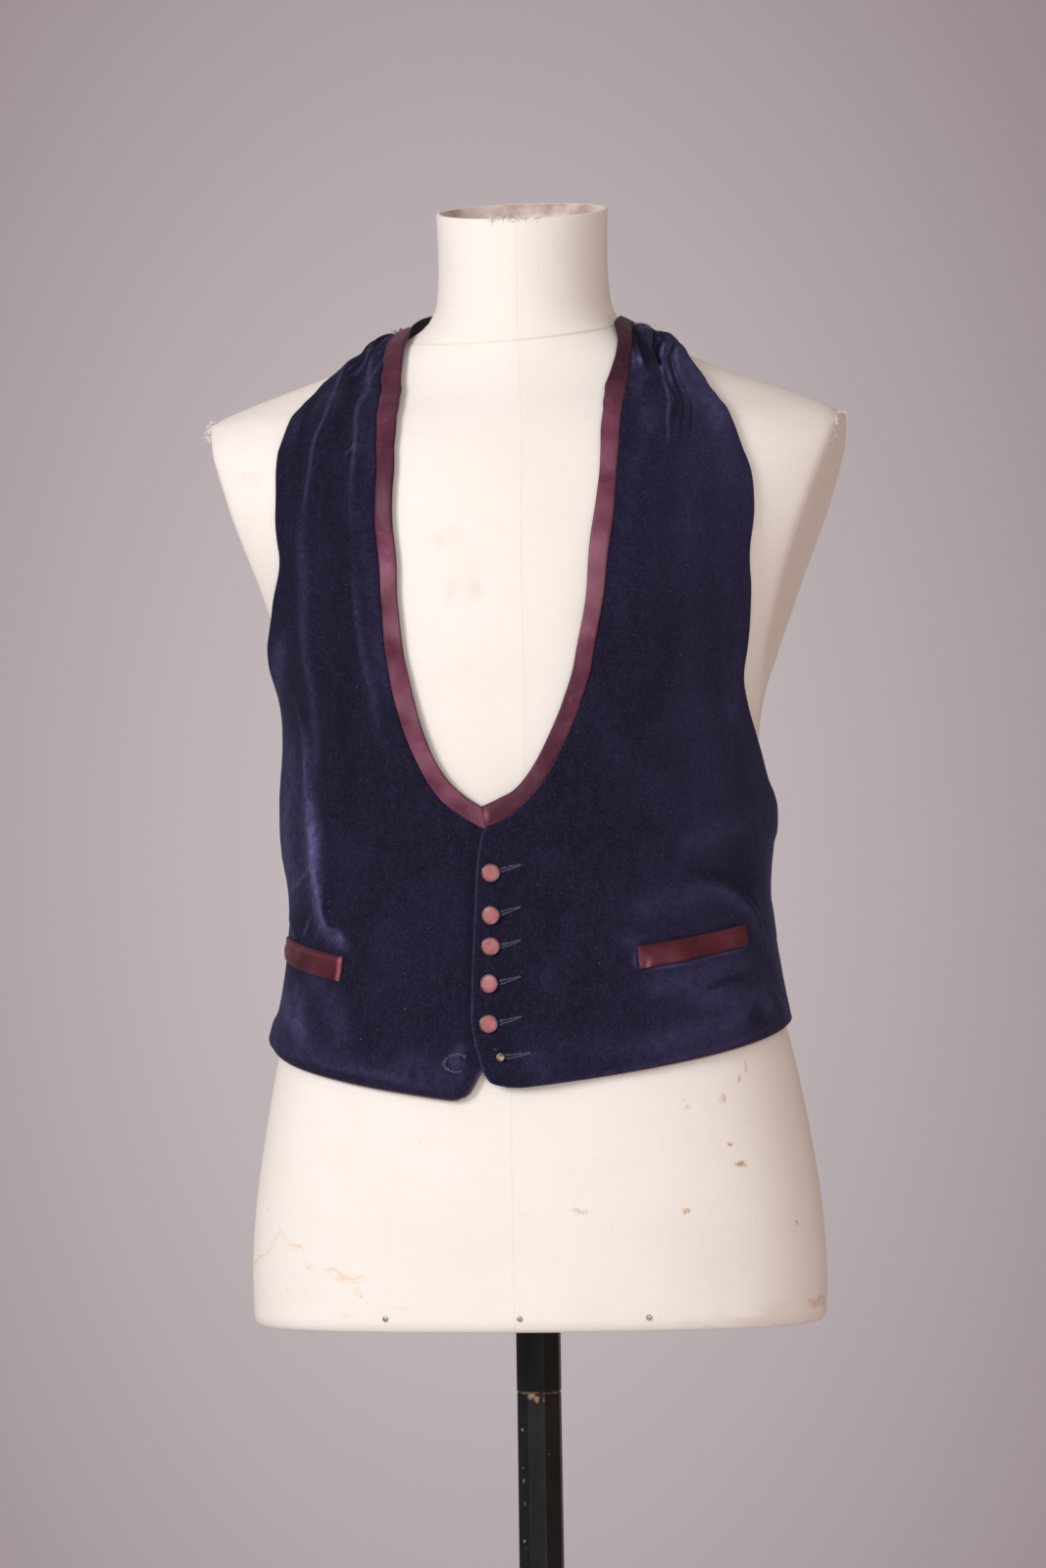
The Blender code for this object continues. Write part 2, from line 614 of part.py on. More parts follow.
def wire(name, points, thick, material):
    """A closed loop of wire through the points."""
    points = np.asarray(points)
    middle = points.mean(0)
    rings = []
    count = len(points)
    plane = np.cross(points[0] - middle, points[count // 4] - middle)
    plane /= np.linalg.norm(plane)
    for i in range(count):
        run = points[(i + 1) % count] - points[i - 1]
        run /= np.linalg.norm(run)
        outward = np.cross(run, plane)
        angles = np.radians(np.arange(WIRE_SIDES) * FULL_TURN / WIRE_SIDES)
        rings.append(points[i] + thick * (np.cos(angles)[:, None] * outward + np.sin(angles)[:, None] * plane))
    faces = []
    for i in range(count):
        for j in range(WIRE_SIDES):
            after, beside = (i + 1) % count * WIRE_SIDES, (j + 1) % WIRE_SIDES
            faces.append((i * WIRE_SIDES + j, i * WIRE_SIDES + beside, after + beside, after + j))
    return solid(name, np.concatenate(rings), faces, material)


def make_strap_wires(strap, material):
    """The slide that goes round the neck strap and the small ring above its end."""
    centre, outward, across = strap.frame(SLIDE_SHARE)
    half_wide = NECK_STRAP_WIDE / 2 + SLIDE_WIRE + SLIDE_ROOM
    half_thick = NECK_STRAP_THICK / 2 + SLIDE_WIRE + SLIDE_ROOM
    middle = centre + outward * NECK_STRAP_THICK / 2
    corners = [(-1, -1), (0, -1), (1, -1), (1, 0), (1, 1), (0, 1), (-1, 1), (-1, 0)]
    loop = [middle + across * half_wide * a + outward * half_thick * b for a, b in corners]
    wire("strap_slide", loop, SLIDE_WIRE, material)
    centre, outward, across = strap.frame(RING_SHARE)
    lift = NECK_STRAP_THICK + SEAM_GAP + RING_WIRE + RING_RADIUS
    middle = centre + outward * lift - across * RING_SHIFT
    angles = np.radians(np.arange(RING_PIECES) * FULL_TURN / RING_PIECES)
    ring = [middle + RING_RADIUS * (math.cos(a) * across + math.sin(a) * outward) for a in angles]
    wire("strap_ring", ring, RING_WIRE, material)


def make_tacks(material):
    for number, turn in enumerate(TACK_TURNS, 1):
        outward = form_normal(turn, TACK_HEIGHT)
        centre = on_form(turn, TACK_HEIGHT) + outward * SEAM_GAP
        turned(f"form_tack_{number}", TACK_PROFILE, TACK_SIDES, centre, outward, material)


def pole_ring(across, height):
    corner = across / 2 / math.cos(math.pi / POLE_SIDES)
    angles = np.radians((np.arange(POLE_SIDES) + 0.5) * FULL_TURN / POLE_SIDES)
    return np.column_stack([corner * np.cos(angles), corner * np.sin(angles), np.full(POLE_SIDES, height)])


def make_stand(paint):
    foot = BASE_PROFILE[-1][1] + SEAM_GAP
    upper = [pole_ring(POLE_ACROSS, POLE_JOINT + SEAM_GAP), pole_ring(POLE_ACROSS, POLE_TOP)]
    lower = [pole_ring(LOWER_POLE_ACROSS_FOOT, foot), pole_ring(LOWER_POLE_ACROSS_TOP, POLE_JOINT)]
    loft("pole_upper", upper, paint)
    loft("pole_lower", lower, paint)
    turned("stand_base", BASE_PROFILE, BASE_SIDES, np.zeros(3), np.array([0.0, 0.0, 1.0]), paint)


def main():
    clear_scene()
    linen = finish("cream linen", (0.82, 0.76, 0.66), 0.85)
    velvet_cloth = finish("midnight velvet", (0.012, 0.011, 0.035), 0.9)
    satin = finish("plum satin", (0.11, 0.028, 0.045), 0.38)
    rose = finish("rose button satin", (0.42, 0.14, 0.13), 0.45)
    black = finish("black ribbon", (0.012, 0.011, 0.013), 0.6)
    brass = finish("dull brass", (0.42, 0.33, 0.18), 0.4, 1.0)
    wire_metal = finish("black wire", (0.02, 0.02, 0.022), 0.35, 1.0)
    nickel = finish("nickel nail head", (0.55, 0.54, 0.52), 0.3, 1.0)
    paint = finish("black paint", (0.012, 0.013, 0.016), 0.35)
    make_form(linen)
    upper = Velvet(UPPER_FOLDS, True)
    under = Velvet(UNDER_FOLDS, False)
    make_front("left_front", UPPER_CLOSING, UPPER_BOUND, upper, velvet_cloth)
    make_front("right_front", UNDER_CLOSING, UNDER_BOUND, under, velvet_cloth)
    make_binding("left_binding", UPPER_BOUND, upper, satin)
    make_binding("right_binding", UNDER_BOUND, under, satin)
    make_welt(WELTS[0], upper, satin)
    make_welt(WELTS[1], under, satin)
    make_buttons(upper, rose, brass)
    neck = make_strap("neck_strap", NECK_STRAP, NECK_STRAP_WIDE, NECK_STRAP_THICK, NECK_STRAP_PIECES, black)
    make_strap("waist_strap", WAIST_STRAP, WAIST_STRAP_WIDE, WAIST_STRAP_THICK, WAIST_STRAP_PIECES, black)
    make_strap_wires(neck, wire_metal)
    make_tacks(nickel)
    make_stand(paint)


main()
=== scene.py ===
# %% [markdown]
# # A backless velvet evening waistcoat on a dress form
# The real thing is a backless evening waistcoat: two fronts of midnight-blue cotton velvet, bound
# in plum satin along a deep neckline, held by a ribbon round the neck and another round the waist.
# It stands on a limbless dress form of cream linen with a black pole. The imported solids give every
# place. This lesson makes the cloth, the linen and the small pieces over them, one step at a time.

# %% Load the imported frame
import json
import math
import random
from collections import namedtuple

import bpy
import numpy as np
from mathutils import Matrix, Vector, noise

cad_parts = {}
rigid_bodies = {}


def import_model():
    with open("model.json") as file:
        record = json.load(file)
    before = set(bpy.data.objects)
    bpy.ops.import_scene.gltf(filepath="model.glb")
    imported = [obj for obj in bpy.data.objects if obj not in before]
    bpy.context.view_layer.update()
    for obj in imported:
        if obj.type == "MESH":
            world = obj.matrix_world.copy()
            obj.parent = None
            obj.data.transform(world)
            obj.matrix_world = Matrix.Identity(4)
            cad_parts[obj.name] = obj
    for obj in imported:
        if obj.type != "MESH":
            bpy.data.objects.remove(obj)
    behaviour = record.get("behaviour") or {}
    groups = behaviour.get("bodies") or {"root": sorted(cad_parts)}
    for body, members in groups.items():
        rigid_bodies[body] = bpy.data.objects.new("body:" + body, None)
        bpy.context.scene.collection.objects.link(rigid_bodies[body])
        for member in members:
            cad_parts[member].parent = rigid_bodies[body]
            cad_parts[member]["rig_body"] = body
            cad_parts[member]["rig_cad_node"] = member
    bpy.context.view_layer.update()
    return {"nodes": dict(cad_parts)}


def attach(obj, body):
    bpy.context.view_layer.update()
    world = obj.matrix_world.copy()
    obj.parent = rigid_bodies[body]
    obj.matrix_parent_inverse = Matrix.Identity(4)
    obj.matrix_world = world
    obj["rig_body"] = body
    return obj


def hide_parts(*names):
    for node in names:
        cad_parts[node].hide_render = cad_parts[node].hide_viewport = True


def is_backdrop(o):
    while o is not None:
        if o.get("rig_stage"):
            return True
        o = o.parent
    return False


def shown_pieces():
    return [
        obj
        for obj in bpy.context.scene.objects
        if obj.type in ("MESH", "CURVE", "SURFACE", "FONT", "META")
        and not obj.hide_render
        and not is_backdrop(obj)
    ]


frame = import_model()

MM = 0.001
FULL_TURN = 360.0

# %% [markdown]
# ## Camera
# The photograph was taken from about chest height, a little to the wearer's left, with a long lens:
# the shoulders show almost no perspective. It could be matched by eye in the viewport. Here the
# camera's place is worked out from three facts instead: its distance, its turn round the form and
# how many millimetres one pixel covers at the pole. The picture leans a little, so the camera rolls.

# %% Camera at the photograph's place
CAMERA_TURN = math.radians(8.5)
CAMERA_ROLL = 0.0151
CAMERA_AWAY = 6.0
CAMERA_EYE = 1.185
CAMERA_ASIDE = 0.00504
MM_A_PIXEL = 0.7
PICTURE_TALL = 1600
SENSOR = 36.0

away = Vector((math.sin(CAMERA_TURN), -math.cos(CAMERA_TURN), 0))
to_right = Vector((math.cos(CAMERA_TURN), math.sin(CAMERA_TURN), 0))
upward = Vector((0, 0, 1)) * math.cos(CAMERA_ROLL) + to_right * math.sin(CAMERA_ROLL)
sideways = upward.cross(away)
camera = bpy.data.objects.new("camera", bpy.data.cameras.new("camera"))
bpy.context.scene.collection.objects.link(camera)
camera.matrix_world = Matrix((sideways, upward, away)).transposed().to_4x4()
camera.location = away * CAMERA_AWAY - to_right * CAMERA_ASIDE + Vector((0, 0, CAMERA_EYE))
camera.data.sensor_width = SENSOR
camera.data.lens = SENSOR * CAMERA_AWAY / (MM_A_PIXEL * MM) / PICTURE_TALL
bpy.context.scene.camera = camera
print("lens in mm", round(camera.data.lens, 1))

# %% [markdown]
# ## Light and floor
# The studio has one large soft light at the picture's left front, a pale mauve-grey paper all round
# that fills the shadows, and a little warm light thrown back from the right. The paper is the world
# colour, lit most behind the form and darker towards the picture's corners, and the lights are area
# lights that the camera doesn't see. The floor is a plain pale disc.

# %% Studio light and floor
PAPER = (0.365, 0.318, 0.326)
PAPER_LIT = (0.555, 0.494, 0.506)
PAPER_DARK = (0.240, 0.190, 0.200)
PAPER_WARM_SIDE = (0.175, 0.120, 0.098)
PAPER_ABOVE = (0.60, 0.53, 0.53)
LIGHTS_AIM_AT = Vector((0, 0, 1.2))
FLOOR_RADIUS = 5.0
UNDER_THE_BASE = -0.0005


def area_light(name, place, watts, size, colour):
    lamp = bpy.data.lights.new(name, "AREA")
    lamp.energy = watts
    lamp.size = size
    lamp.color = colour
    made = bpy.data.objects.new(name, lamp)
    bpy.context.scene.collection.objects.link(made)
    made.location = place
    aim = LIGHTS_AIM_AT - made.location
    made.rotation_euler = aim.to_track_quat("-Z", "Y").to_euler()
    made.visible_camera = False


area_light("key_light", (-2.3, -3.4, 2.5), 128.0, 1.8, (0.98, 0.99, 1.01))
area_light("front_fill", (1.1, -4.2, 1.6), 66.0, 2.4, (0.98, 0.99, 1.01))
area_light("warm_fill", (3.2, -0.6, 1.2), 12.0, 2.0, (1.0, 0.62, 0.40))
world = bpy.context.scene.world or bpy.data.worlds.new("studio")
bpy.context.scene.world = world
world.use_nodes = True
world.node_tree.nodes["Background"].inputs["Color"].default_value = (*PAPER, 1)
world.node_tree.nodes["Background"].inputs["Strength"].default_value = 1.0
bpy.context.scene.view_settings.view_transform = "Standard"

bpy.ops.object.select_all(action="DESELECT")
bpy.ops.mesh.primitive_circle_add(
    vertices=96, radius=FLOOR_RADIUS, fill_type="NGON", location=(0, 0, UNDER_THE_BASE)
)
floor = bpy.context.object
floor.name = "floor"
floor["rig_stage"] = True

# %% [markdown]
# ## Finishes
# Every finish is a small tree of nodes. A few helpers keep the trees short: they add a node and fill
# its sockets, do arithmetic, blend two colours, ramp a value or make noise, always in the tree that
# was begun last. Numbers that are the same all over a surface go straight on the shader's sockets.

# %% Helpers for finishes
tree = world.node_tree
shader = None


def finish(name, colour, roughness, metallic=0.0, **sockets):
    """Begins a new material's tree."""
    global tree, shader
    material = bpy.data.materials.new(name)
    material.use_nodes = True
    tree = material.node_tree
    shader = tree.nodes["Principled BSDF"]
    given = {"Base_Color": (*colour, 1), "Roughness": roughness, "Metallic": metallic, **sockets}
    for socket, value in given.items():
        shader.inputs[socket.replace("_", " ")].default_value = value
    return material


def fill(socket, value):
    if isinstance(value, bpy.types.NodeSocket):
        tree.links.new(value, socket)
    else:
        socket.default_value = value


def node(kind, sockets=None, **settings):
    made = tree.nodes.new(kind)
    for name, value in settings.items():
        setattr(made, name, value)
    for name, value in (sockets or {}).items():
        fill(made.inputs[name], value)
    return made


def sum_of(operation, *values, clamp=False):
    made = node("ShaderNodeMath", operation=operation, use_clamp=clamp)
    for socket, value in zip(made.inputs, values):
        fill(socket, value)
    return made.outputs[0]


def plus(*values):
    return sum_of("ADD", *values)


def times(*values):
    return sum_of("MULTIPLY", *values)


def less(*values):
    return sum_of("SUBTRACT", *values)


def larger(*values):
    return sum_of("MAXIMUM", *values)


def blend(share, under, over, mode="MIX"):
    made = node("ShaderNodeMix", data_type="RGBA", blend_type=mode, clamp_factor=True)
    for socket, value in ((0, share), (6, under), (7, over)):
        fill(made.inputs[socket], (*value, 1) if isinstance(value, tuple) else value)
    return made.outputs[2]


def ramp(value, low, high, to_low=0.0, to_high=1.0):
    limits = {"From Min": low, "From Max": high, "To Min": to_low, "To Max": to_high, "Value": value}
    return node("ShaderNodeMapRange", limits, interpolation_type="SMOOTHSTEP").outputs[0]


def coordinates(kind="Object"):
    return node("ShaderNodeTexCoord").outputs[kind]


def noise_at(where, scale, detail=3.0, rough=0.5):
    """Noise with its scale in waves a metre."""
    return node("ShaderNodeTexNoise", {"Vector": where, "Scale": scale, "Detail": detail, "Roughness": rough})


def grain(scale, detail=3.0, rough=0.5, where=None):
    return noise_at(where or coordinates(), scale, detail, rough).outputs["Fac"]


def stretched(where, scale):
    return node("ShaderNodeMapping", {"Vector": where, "Scale": scale}).outputs[0]


def vector(operation, *values):
    made = node("ShaderNodeVectorMath", operation=operation)
    for socket, value in zip(made.inputs, values):
        fill(socket, value)
    return made.outputs["Value" if operation == "LENGTH" else 0]


def weave(where, scale, way, **sockets):
    """Even waves that run this way, as threads or ribs do."""
    given = {"Vector": where, "Scale": scale, **sockets}
    return node("ShaderNodeTexWave", given, bands_direction=way).outputs["Fac"]


def value_on_mesh(name):
    return node("ShaderNodeAttribute", attribute_name=name).outputs["Fac"]


def parts_of(where):
    return node("ShaderNodeSeparateXYZ", {"Vector": where}).outputs


def bump(*heights):
    """Chains bumps into the shader: each is a height, its strength and its depth in millimetres."""
    normal = None
    for height, strength, depth in heights:
        sockets = {"Height": height, "Strength": strength, "Distance": depth * MM}
        if normal:
            sockets["Normal"] = normal
        normal = node("ShaderNodeBump", sockets).outputs["Normal"]
    fill(shader.inputs["Normal"], normal)


def paint_with(colour):
    fill(shader.inputs["Base Color"], colour)


def mottled(scale, dark, pale, low=0.3, high=0.7, detail=3.0):
    """A colour that drifts between two with the noise, painted on."""
    paint_with(blend(ramp(grain(scale, detail), low, high), dark, pale))


tree = world.node_tree
looked = coordinates("Generated")
centre = vector("ADD", looked, away + to_right * 0.006 + Vector((0, 0, 0.008)))
from_centre = vector("LENGTH", vector("MULTIPLY", centre, (1.0, 1.0, 0.6)))
paper = blend(ramp(from_centre, 0.0, 0.13), PAPER_LIT, PAPER_DARK)
paper = blend(ramp(from_centre, 0.10, 0.16), paper, PAPER)
paper = blend(ramp(parts_of(looked)["X"], 0.3, 0.9), paper, PAPER_WARM_SIDE)
paper = blend(ramp(parts_of(looked)["Z"], 0.35, 0.95), paper, PAPER_ABOVE)
fill(tree.nodes["Background"].inputs["Color"], paper)

floor.data.materials.append(finish("pale floor", (0.62, 0.58, 0.58), 0.8))
paint_with(blend(grain(6.0), (0.60, 0.56, 0.56), (0.64, 0.60, 0.60)))

# %% [markdown]
# ## The body's shape
# A dress form is a stack of level outlines. Each row of this table is one outline, with its height,
# half width, depth in front and behind and how square it is. A smooth line runs through every
# column, so the form can be read at any height. A place on it is a turn, in degrees from the centre
# front towards the wearer's left, and a height in millimetres. The cloth is laid on the same shape.

# %% Level outlines of the form
Section = namedtuple("Section", "height half_width plate front back roundness widest ease_front ease_side")
SECTIONS = [Section(*row) for row in (
    (800, 203, 230, 110, 138, 2.35, 10, 4, 4), (806, 205, 230, 112, 140, 2.35, 10, 4, 4),
    (840, 205.6, 230, 113, 143, 2.35, 10, 4, 4), (880, 203, 230, 114, 143, 2.35, 10, 5, 5),
    (933, 195.5, 230, 113, 140, 2.3, 10, 6, 6), (983, 186, 230, 111, 131, 2.3, 8, 6, 4),
    (1040, 173, 230, 108, 119, 2.25, 6, 5, 5), (1100, 164, 230, 105, 111, 2.2, 5, 4, 5),
    (1160, 161, 230, 105, 110, 2.2, 5, 4.5, 11), (1219, 163.5, 230, 109, 116, 2.15, 8, 5, 6),
    (1250, 168.5, 168.5, 113, 121, 2.1, 12, 4.5, 4), (1280, 182, 175, 118, 126, 2, 16, 4, 4),
    (1330, 212, 190.5, 121, 130, 1.95, 20, 4, 4), (1380, 242, 209, 118, 131, 1.9, 20, 4, 4),
    (1420, 250, 222.5, 105, 125, 1.8, 14, 4, 4), (1443, 235, 227.5, 93, 117, 1.68, 10, 4.5, 4.5),
    (1452.3, 215, 227.5, 87, 112, 1.6, 8, 4.5, 4.5), (1463.6, 186, 230, 80, 104, 1.5, 8, 4.5, 4.5),
    (1476.5, 149, 230, 73, 96, 1.55, 8, 4.5, 4.5), (1490, 115.5, 230, 67.5, 88, 1.7, 8, 4, 4.5),
    (1503, 85, 230, 64, 81, 1.9, 8, 3.5, 5), (1515, 68.5, 230, 62, 75, 2, 7, 3.5, 5),
    (1530, 62, 230, 60.5, 69, 2, 5, 4, 5), (1560, 60.3, 230, 60, 65, 2, 3, 5, 5),
    (1610, 61.8, 230, 61, 63, 2, 1, 5, 5),
)]


def slopes(places, values):
    """Slopes at the given places for a curve that never overshoots its values."""
    steps = np.diff(places)
    rates = np.diff(values) / steps
    found = np.zeros(len(places))
    found[0], found[-1] = rates[0], rates[-1]
    for i in range(1, len(places) - 1):
        if rates[i - 1] * rates[i] > 0:
            before = 2 * steps[i] + steps[i - 1]
            after = steps[i] + 2 * steps[i - 1]
            found[i] = (before + after) / (before / rates[i - 1] + after / rates[i])
    return found


def bell(gap, reach):
    """1 at no gap, fading to nought beyond the reach."""
    return np.exp(-((gap / reach) ** 2))


def unit(vectors):
    return vectors / np.linalg.norm(vectors, axis=-1, keepdims=True)


class SmoothLine:
    """A value that runs smoothly through the given values at rising places."""

    def __init__(self, places, values):
        self.places = np.asarray(places, float)
        self.values = np.asarray(values, float)
        self.slopes = slopes(self.places, self.values)

    def __call__(self, place):
        place = np.asarray(place, float)
        i = np.clip(np.searchsorted(self.places, place) - 1, 0, len(self.places) - 2)
        step = self.places[i + 1] - self.places[i]
        t = np.clip((place - self.places[i]) / step, 0, 1)
        start = (1 + 2 * t) * (1 - t) ** 2 * self.values[i] + t * (1 - t) ** 2 * step * self.slopes[i]
        end = t * t * (3 - 2 * t) * self.values[i + 1] + t * t * (t - 1) * step * self.slopes[i + 1]
        return start + end


LEVELS = [section.height for section in SECTIONS]
FORM = {
    field: SmoothLine(LEVELS, [getattr(section, field) for section in SECTIONS])
    for field in Section._fields
    if field not in ("height", "plate")
}


def plate_at(height):
    return np.interp(height, LEVELS, [section.plate for section in SECTIONS])


def on_form(turn, height):
    """Points of the form's full section."""
    turn, height = np.broadcast_arrays(np.asarray(turn, float), np.asarray(height, float))
    power = 2 / FORM["roundness"](height)
    sine, cosine = np.sin(np.radians(turn)), np.cos(np.radians(turn))
    widest = FORM["widest"](height)
    x = FORM["half_width"](height) * np.abs(sine) ** power * np.sign(sine)
    reach = np.abs(cosine) ** power
    depth = np.where(cosine >= 0, -(FORM["front"](height) + widest), FORM["back"](height) - widest)
    return np.stack([x, widest + depth * reach, height], axis=-1)


def form_normal(turn, height):
    step = 0.6
    round_it = on_form(turn + step, height) - on_form(turn - step, height)
    up_it = on_form(turn, height + step) - on_form(turn, height - step)
    return unit(np.cross(round_it, up_it))


print("shoulders in mm", round(2 * float(plate_at(1452)), 1))

# %% [markdown]
# ## Making a mesh from rows of points
# Cloth, ribbon and the form's cover are all rows of points, so one helper turns a grid into a mesh.
# A wall takes a second grid for its inner side and closes round the edge. The sign of its volume
# tells whether its faces look outwards. Every point keeps its place along and across as a UV.

# %% Helpers for meshes
def piece_of(name, points, faces, materials, face_materials=None, uvs=None):
    """An object from points in millimetres, its faces turned outwards."""
    points = np.asarray(points, float)
    corners = points[[face[:3] for face in faces]]
    rest = points[[(face[0], face[2], face[-1]) for face in faces]]
    if np.linalg.det(corners).sum() + np.linalg.det(rest).sum() < 0:
        faces = [face[::-1] for face in faces]
    mesh = bpy.data.meshes.new(name)
    mesh.from_pydata((points * MM).tolist(), [], [tuple(face) for face in faces])
    for material in materials:
        mesh.materials.append(material)
    if face_materials is not None:
        mesh.polygons.foreach_set("material_index", np.asarray(face_materials, np.int32))
    if uvs is not None:
        layer = mesh.uv_layers.new(name="cloth")
        corner = np.zeros(len(mesh.loops), np.int32)
        mesh.loops.foreach_get("vertex_index", corner)
        layer.data.foreach_set("uv", np.asarray(uvs, float)[corner].ravel())
    mesh.shade_smooth()
    made = bpy.data.objects.new(name, mesh)
    bpy.context.scene.collection.objects.link(made)
    return made


def grid_faces(rows, columns, closed=False):
    at = np.arange(rows * columns).reshape(rows, columns)
    if closed:
        at = np.concatenate([at, at[:, :1]], axis=1)
    return np.stack([at[:-1, :-1], at[:-1, 1:], at[1:, 1:], at[1:, :-1]], axis=-1).reshape(-1, 4)


def closed_wall(name, outer, inner, materials, edge_material=1):
    """A wall between two grids of points, in rows and columns, closed round its edge."""
    rows, columns = outer.shape[:2]
    out = grid_faces(rows, columns)
    inside = out[:, ::-1] + rows * columns
    at = np.arange(rows * columns).reshape(rows, columns)
    loop = np.concatenate([at[0, :-1], at[:-1, -1], at[-1, :0:-1], at[:0:-1, 0]])
    after = np.roll(loop, -1)
    rim = np.stack([after, loop, loop + rows * columns, after + rows * columns], axis=-1)
    faces = np.concatenate([out, inside, rim]).tolist()
    kinds = [0] * len(out) + [1] * len(inside) + [edge_material] * len(rim)
    across = np.linalg.norm(np.diff(outer, axis=1), axis=-1).cumsum(axis=1)
    across = np.concatenate([np.zeros((rows, 1)), across], axis=1)
    along = np.linalg.norm(np.diff(outer, axis=0), axis=-1).mean(axis=1).cumsum()
    along = np.concatenate([[0.0], along])[:, None] * np.ones((1, columns))
    uvs = np.stack([across, along], axis=-1).reshape(-1, 2) * MM
    points = np.concatenate([outer.reshape(-1, 3), inner.reshape(-1, 3)])
    return piece_of(name, points, faces, materials, kinds, np.concatenate([uvs, uvs]))


def take(piece):
    """Leaves this piece alone selected and active."""
    bpy.ops.object.select_all(action="DESELECT")
    piece.select_set(True)
    bpy.context.view_layer.objects.active = piece


def edit_all(piece, *steps):
    """Runs edit-mode steps, each an operator and its settings, on the whole of a piece."""
    take(piece)
    bpy.ops.object.mode_set(mode="EDIT")
    for step, settings in steps:
        bpy.ops.mesh.select_all(action="SELECT")
        step(**settings)
    bpy.ops.object.mode_set(mode="OBJECT")


FACES_OUT = (bpy.ops.mesh.normals_make_consistent, {"inside": False})


def area_of(piece):
    """Half the area of a thin closed wall, in square metres."""
    return sum(face.area for face in piece.data.polygons) / 2


# %% [markdown]
# ## Linen on the form
# The form is a hard shell under firm cream linen. The linen shows a fine weave, a sewn line down the
# centre front and round the foot of the neck, dull yellow patches from handling and a few rust
# spots near the hem. The weave is two crossed waves, bent a little by noise. The sewn lines are
# drawn by their distance from a plane, and each spot by its distance from a place, so that nothing
# is painted by hand.

# %% Linen finish
Spot = namedtuple("Spot", "across height wide tall strength")
RUST_SPOTS = [Spot(*row) for row in (
    (158, 916, 4.5, 4, 1), (121, 885, 4, 3.2, 0.9), (46, 885, 7, 4, 0.45), (50, 883, 2.5, 2.5, 0.6),
    (145, 962, 3.2, 4.5, 0.7), (121, 956, 3, 3, 0.45), (119, 963, 2, 2, 0.35), (150, 930, 1.8, 1.8, 0.9),
    (193, 873, 1.8, 2.2, 0.8), (160, 984, 1.8, 6, 0.6), (156, 975, 2.2, 5, 0.6), (-111, 826, 1.5, 1.5, 0.6),
    (-169, 831, 2.2, 1.8, 0.5), (-185, 885, 2, 1.6, 0.3), (-142, 905, 1.4, 1.4, 0.4),
    (-65, 934, 1.5, 1.2, 0.35), (203, 815, 9, 5, 0.5),
)]
HAND_PATCHES = [Spot(*row) for row in (
    (-40, 1358, 20, 14, 0.3), (-35, 1322, 12, 16, 0.35), (-19, 1321, 11, 14, 0.35), (-29, 1338, 26, 26, 0.18),
    (-186, 1405, 14, 10, 0.35), (-196, 1370, 9, 12, 0.2), (-196, 815, 14, 26, 0.25), (-150, 830, 40, 18, 0.1),
    (150, 806, 60, 6, 0.35), (224, 1444, 9, 9, 0.9), (-125, 1366, 9, 9, 0.35), (178, 812, 16, 8, 0.3),
)]
TIDE_PATCHES = [Spot(*row) for row in (
    (-125, 840, 9, 4.5, 0.6), (-113, 836, 9, 3.5, 0.55), (-113, 829, 5, 4, 0.45), (-119, 813, 10, 2.5, 0.4),
    (-80, 817, 9, 2.5, 0.35), (-180, 861, 4, 8, 0.4),
)]
TIDE_LINE = (
    (-203.7, 830.8), (-202.6, 845.1), (-191.4, 852), (-181, 856.6), (-178.9, 867.5), (-174.1, 871.6),
    (-168.5, 866.5), (-164.1, 862), (-155.2, 856.9), (-154.4, 848.4), (-151.9, 844.7), (-136.4, 844),
    (-131.3, 846.7), (-125.6, 842.1), (-119.8, 838.4), (-110, 838.6), (-103.5, 837.1),
)
LINEN = (0.745, 0.705, 0.655)
LINEN_DULL = (0.58, 0.47, 0.36)
RUST = (0.50, 0.27, 0.11)
TIDE = (0.72, 0.52, 0.32)

linen = finish("cream linen", LINEN, 0.9, Specular_IOR_Level=0.15)
here = coordinates()
plain = parts_of(here)
shaken = vector("MULTIPLY_ADD", noise_at(here, 180.0, 2.0).outputs["Color"], (0.0012,) * 3, here)
drift = vector("ADD", noise_at(here, 70.0).outputs["Color"], (-0.5,) * 3)
place = parts_of(vector("MULTIPLY_ADD", drift, (0.012,) * 3, here))
front_side = ramp(plain["Y"], 0.0, 0.02, 1.0, 0.0)


def spot_mask(spots, place):
    """Where any spot is, as one value."""
    total = None
    for spot in spots:
        x = sum_of("DIVIDE", less(place["X"], spot.across * MM), spot.wide * MM)
        z = sum_of("DIVIDE", less(place["Z"], spot.height * MM), spot.tall * MM)
        mask = ramp(sum_of("SQRT", plus(times(x, x), times(z, z))), 0.25, 1.0, spot.strength, 0.0)
        total = mask if total is None else larger(total, mask)
    return total


# The tide line is a height for each place across, read from a curve of its own
low_corner, high_corner = (-0.205, 0.825), (-0.100, 0.875)
line = node("ShaderNodeFloatCurve", {"Value": node("ShaderNodeMapRange", {
    "Value": place["X"], "From Min": low_corner[0], "From Max": high_corner[0]
}).outputs[0]})
curve = line.mapping.curves[0]
stops = [
    [(v * MM - low) / (high - low) for v, low, high in zip(stop, low_corner, high_corner)]
    for stop in TIDE_LINE
]
curve.points[0].location, curve.points[-1].location = stops[0], stops[-1]
for stop in stops[1:-1]:
    curve.points.new(*stop)
for point in curve.points:
    point.handle_type = "VECTOR"
line.mapping.update()
over_line = less(place["Z"], node("ShaderNodeMapRange", {
    "Value": line.outputs[0], "To Min": low_corner[1], "To Max": high_corner[1]
}).outputs[0])
tide = ramp(sum_of("ABSOLUTE", over_line), 0.0003, 0.0013, 0.8, 0.0)
wash = times(ramp(over_line, -0.006, 0.0, 0.0, 0.35), ramp(over_line, 0.0, 0.0006, 1.0, 0.0))
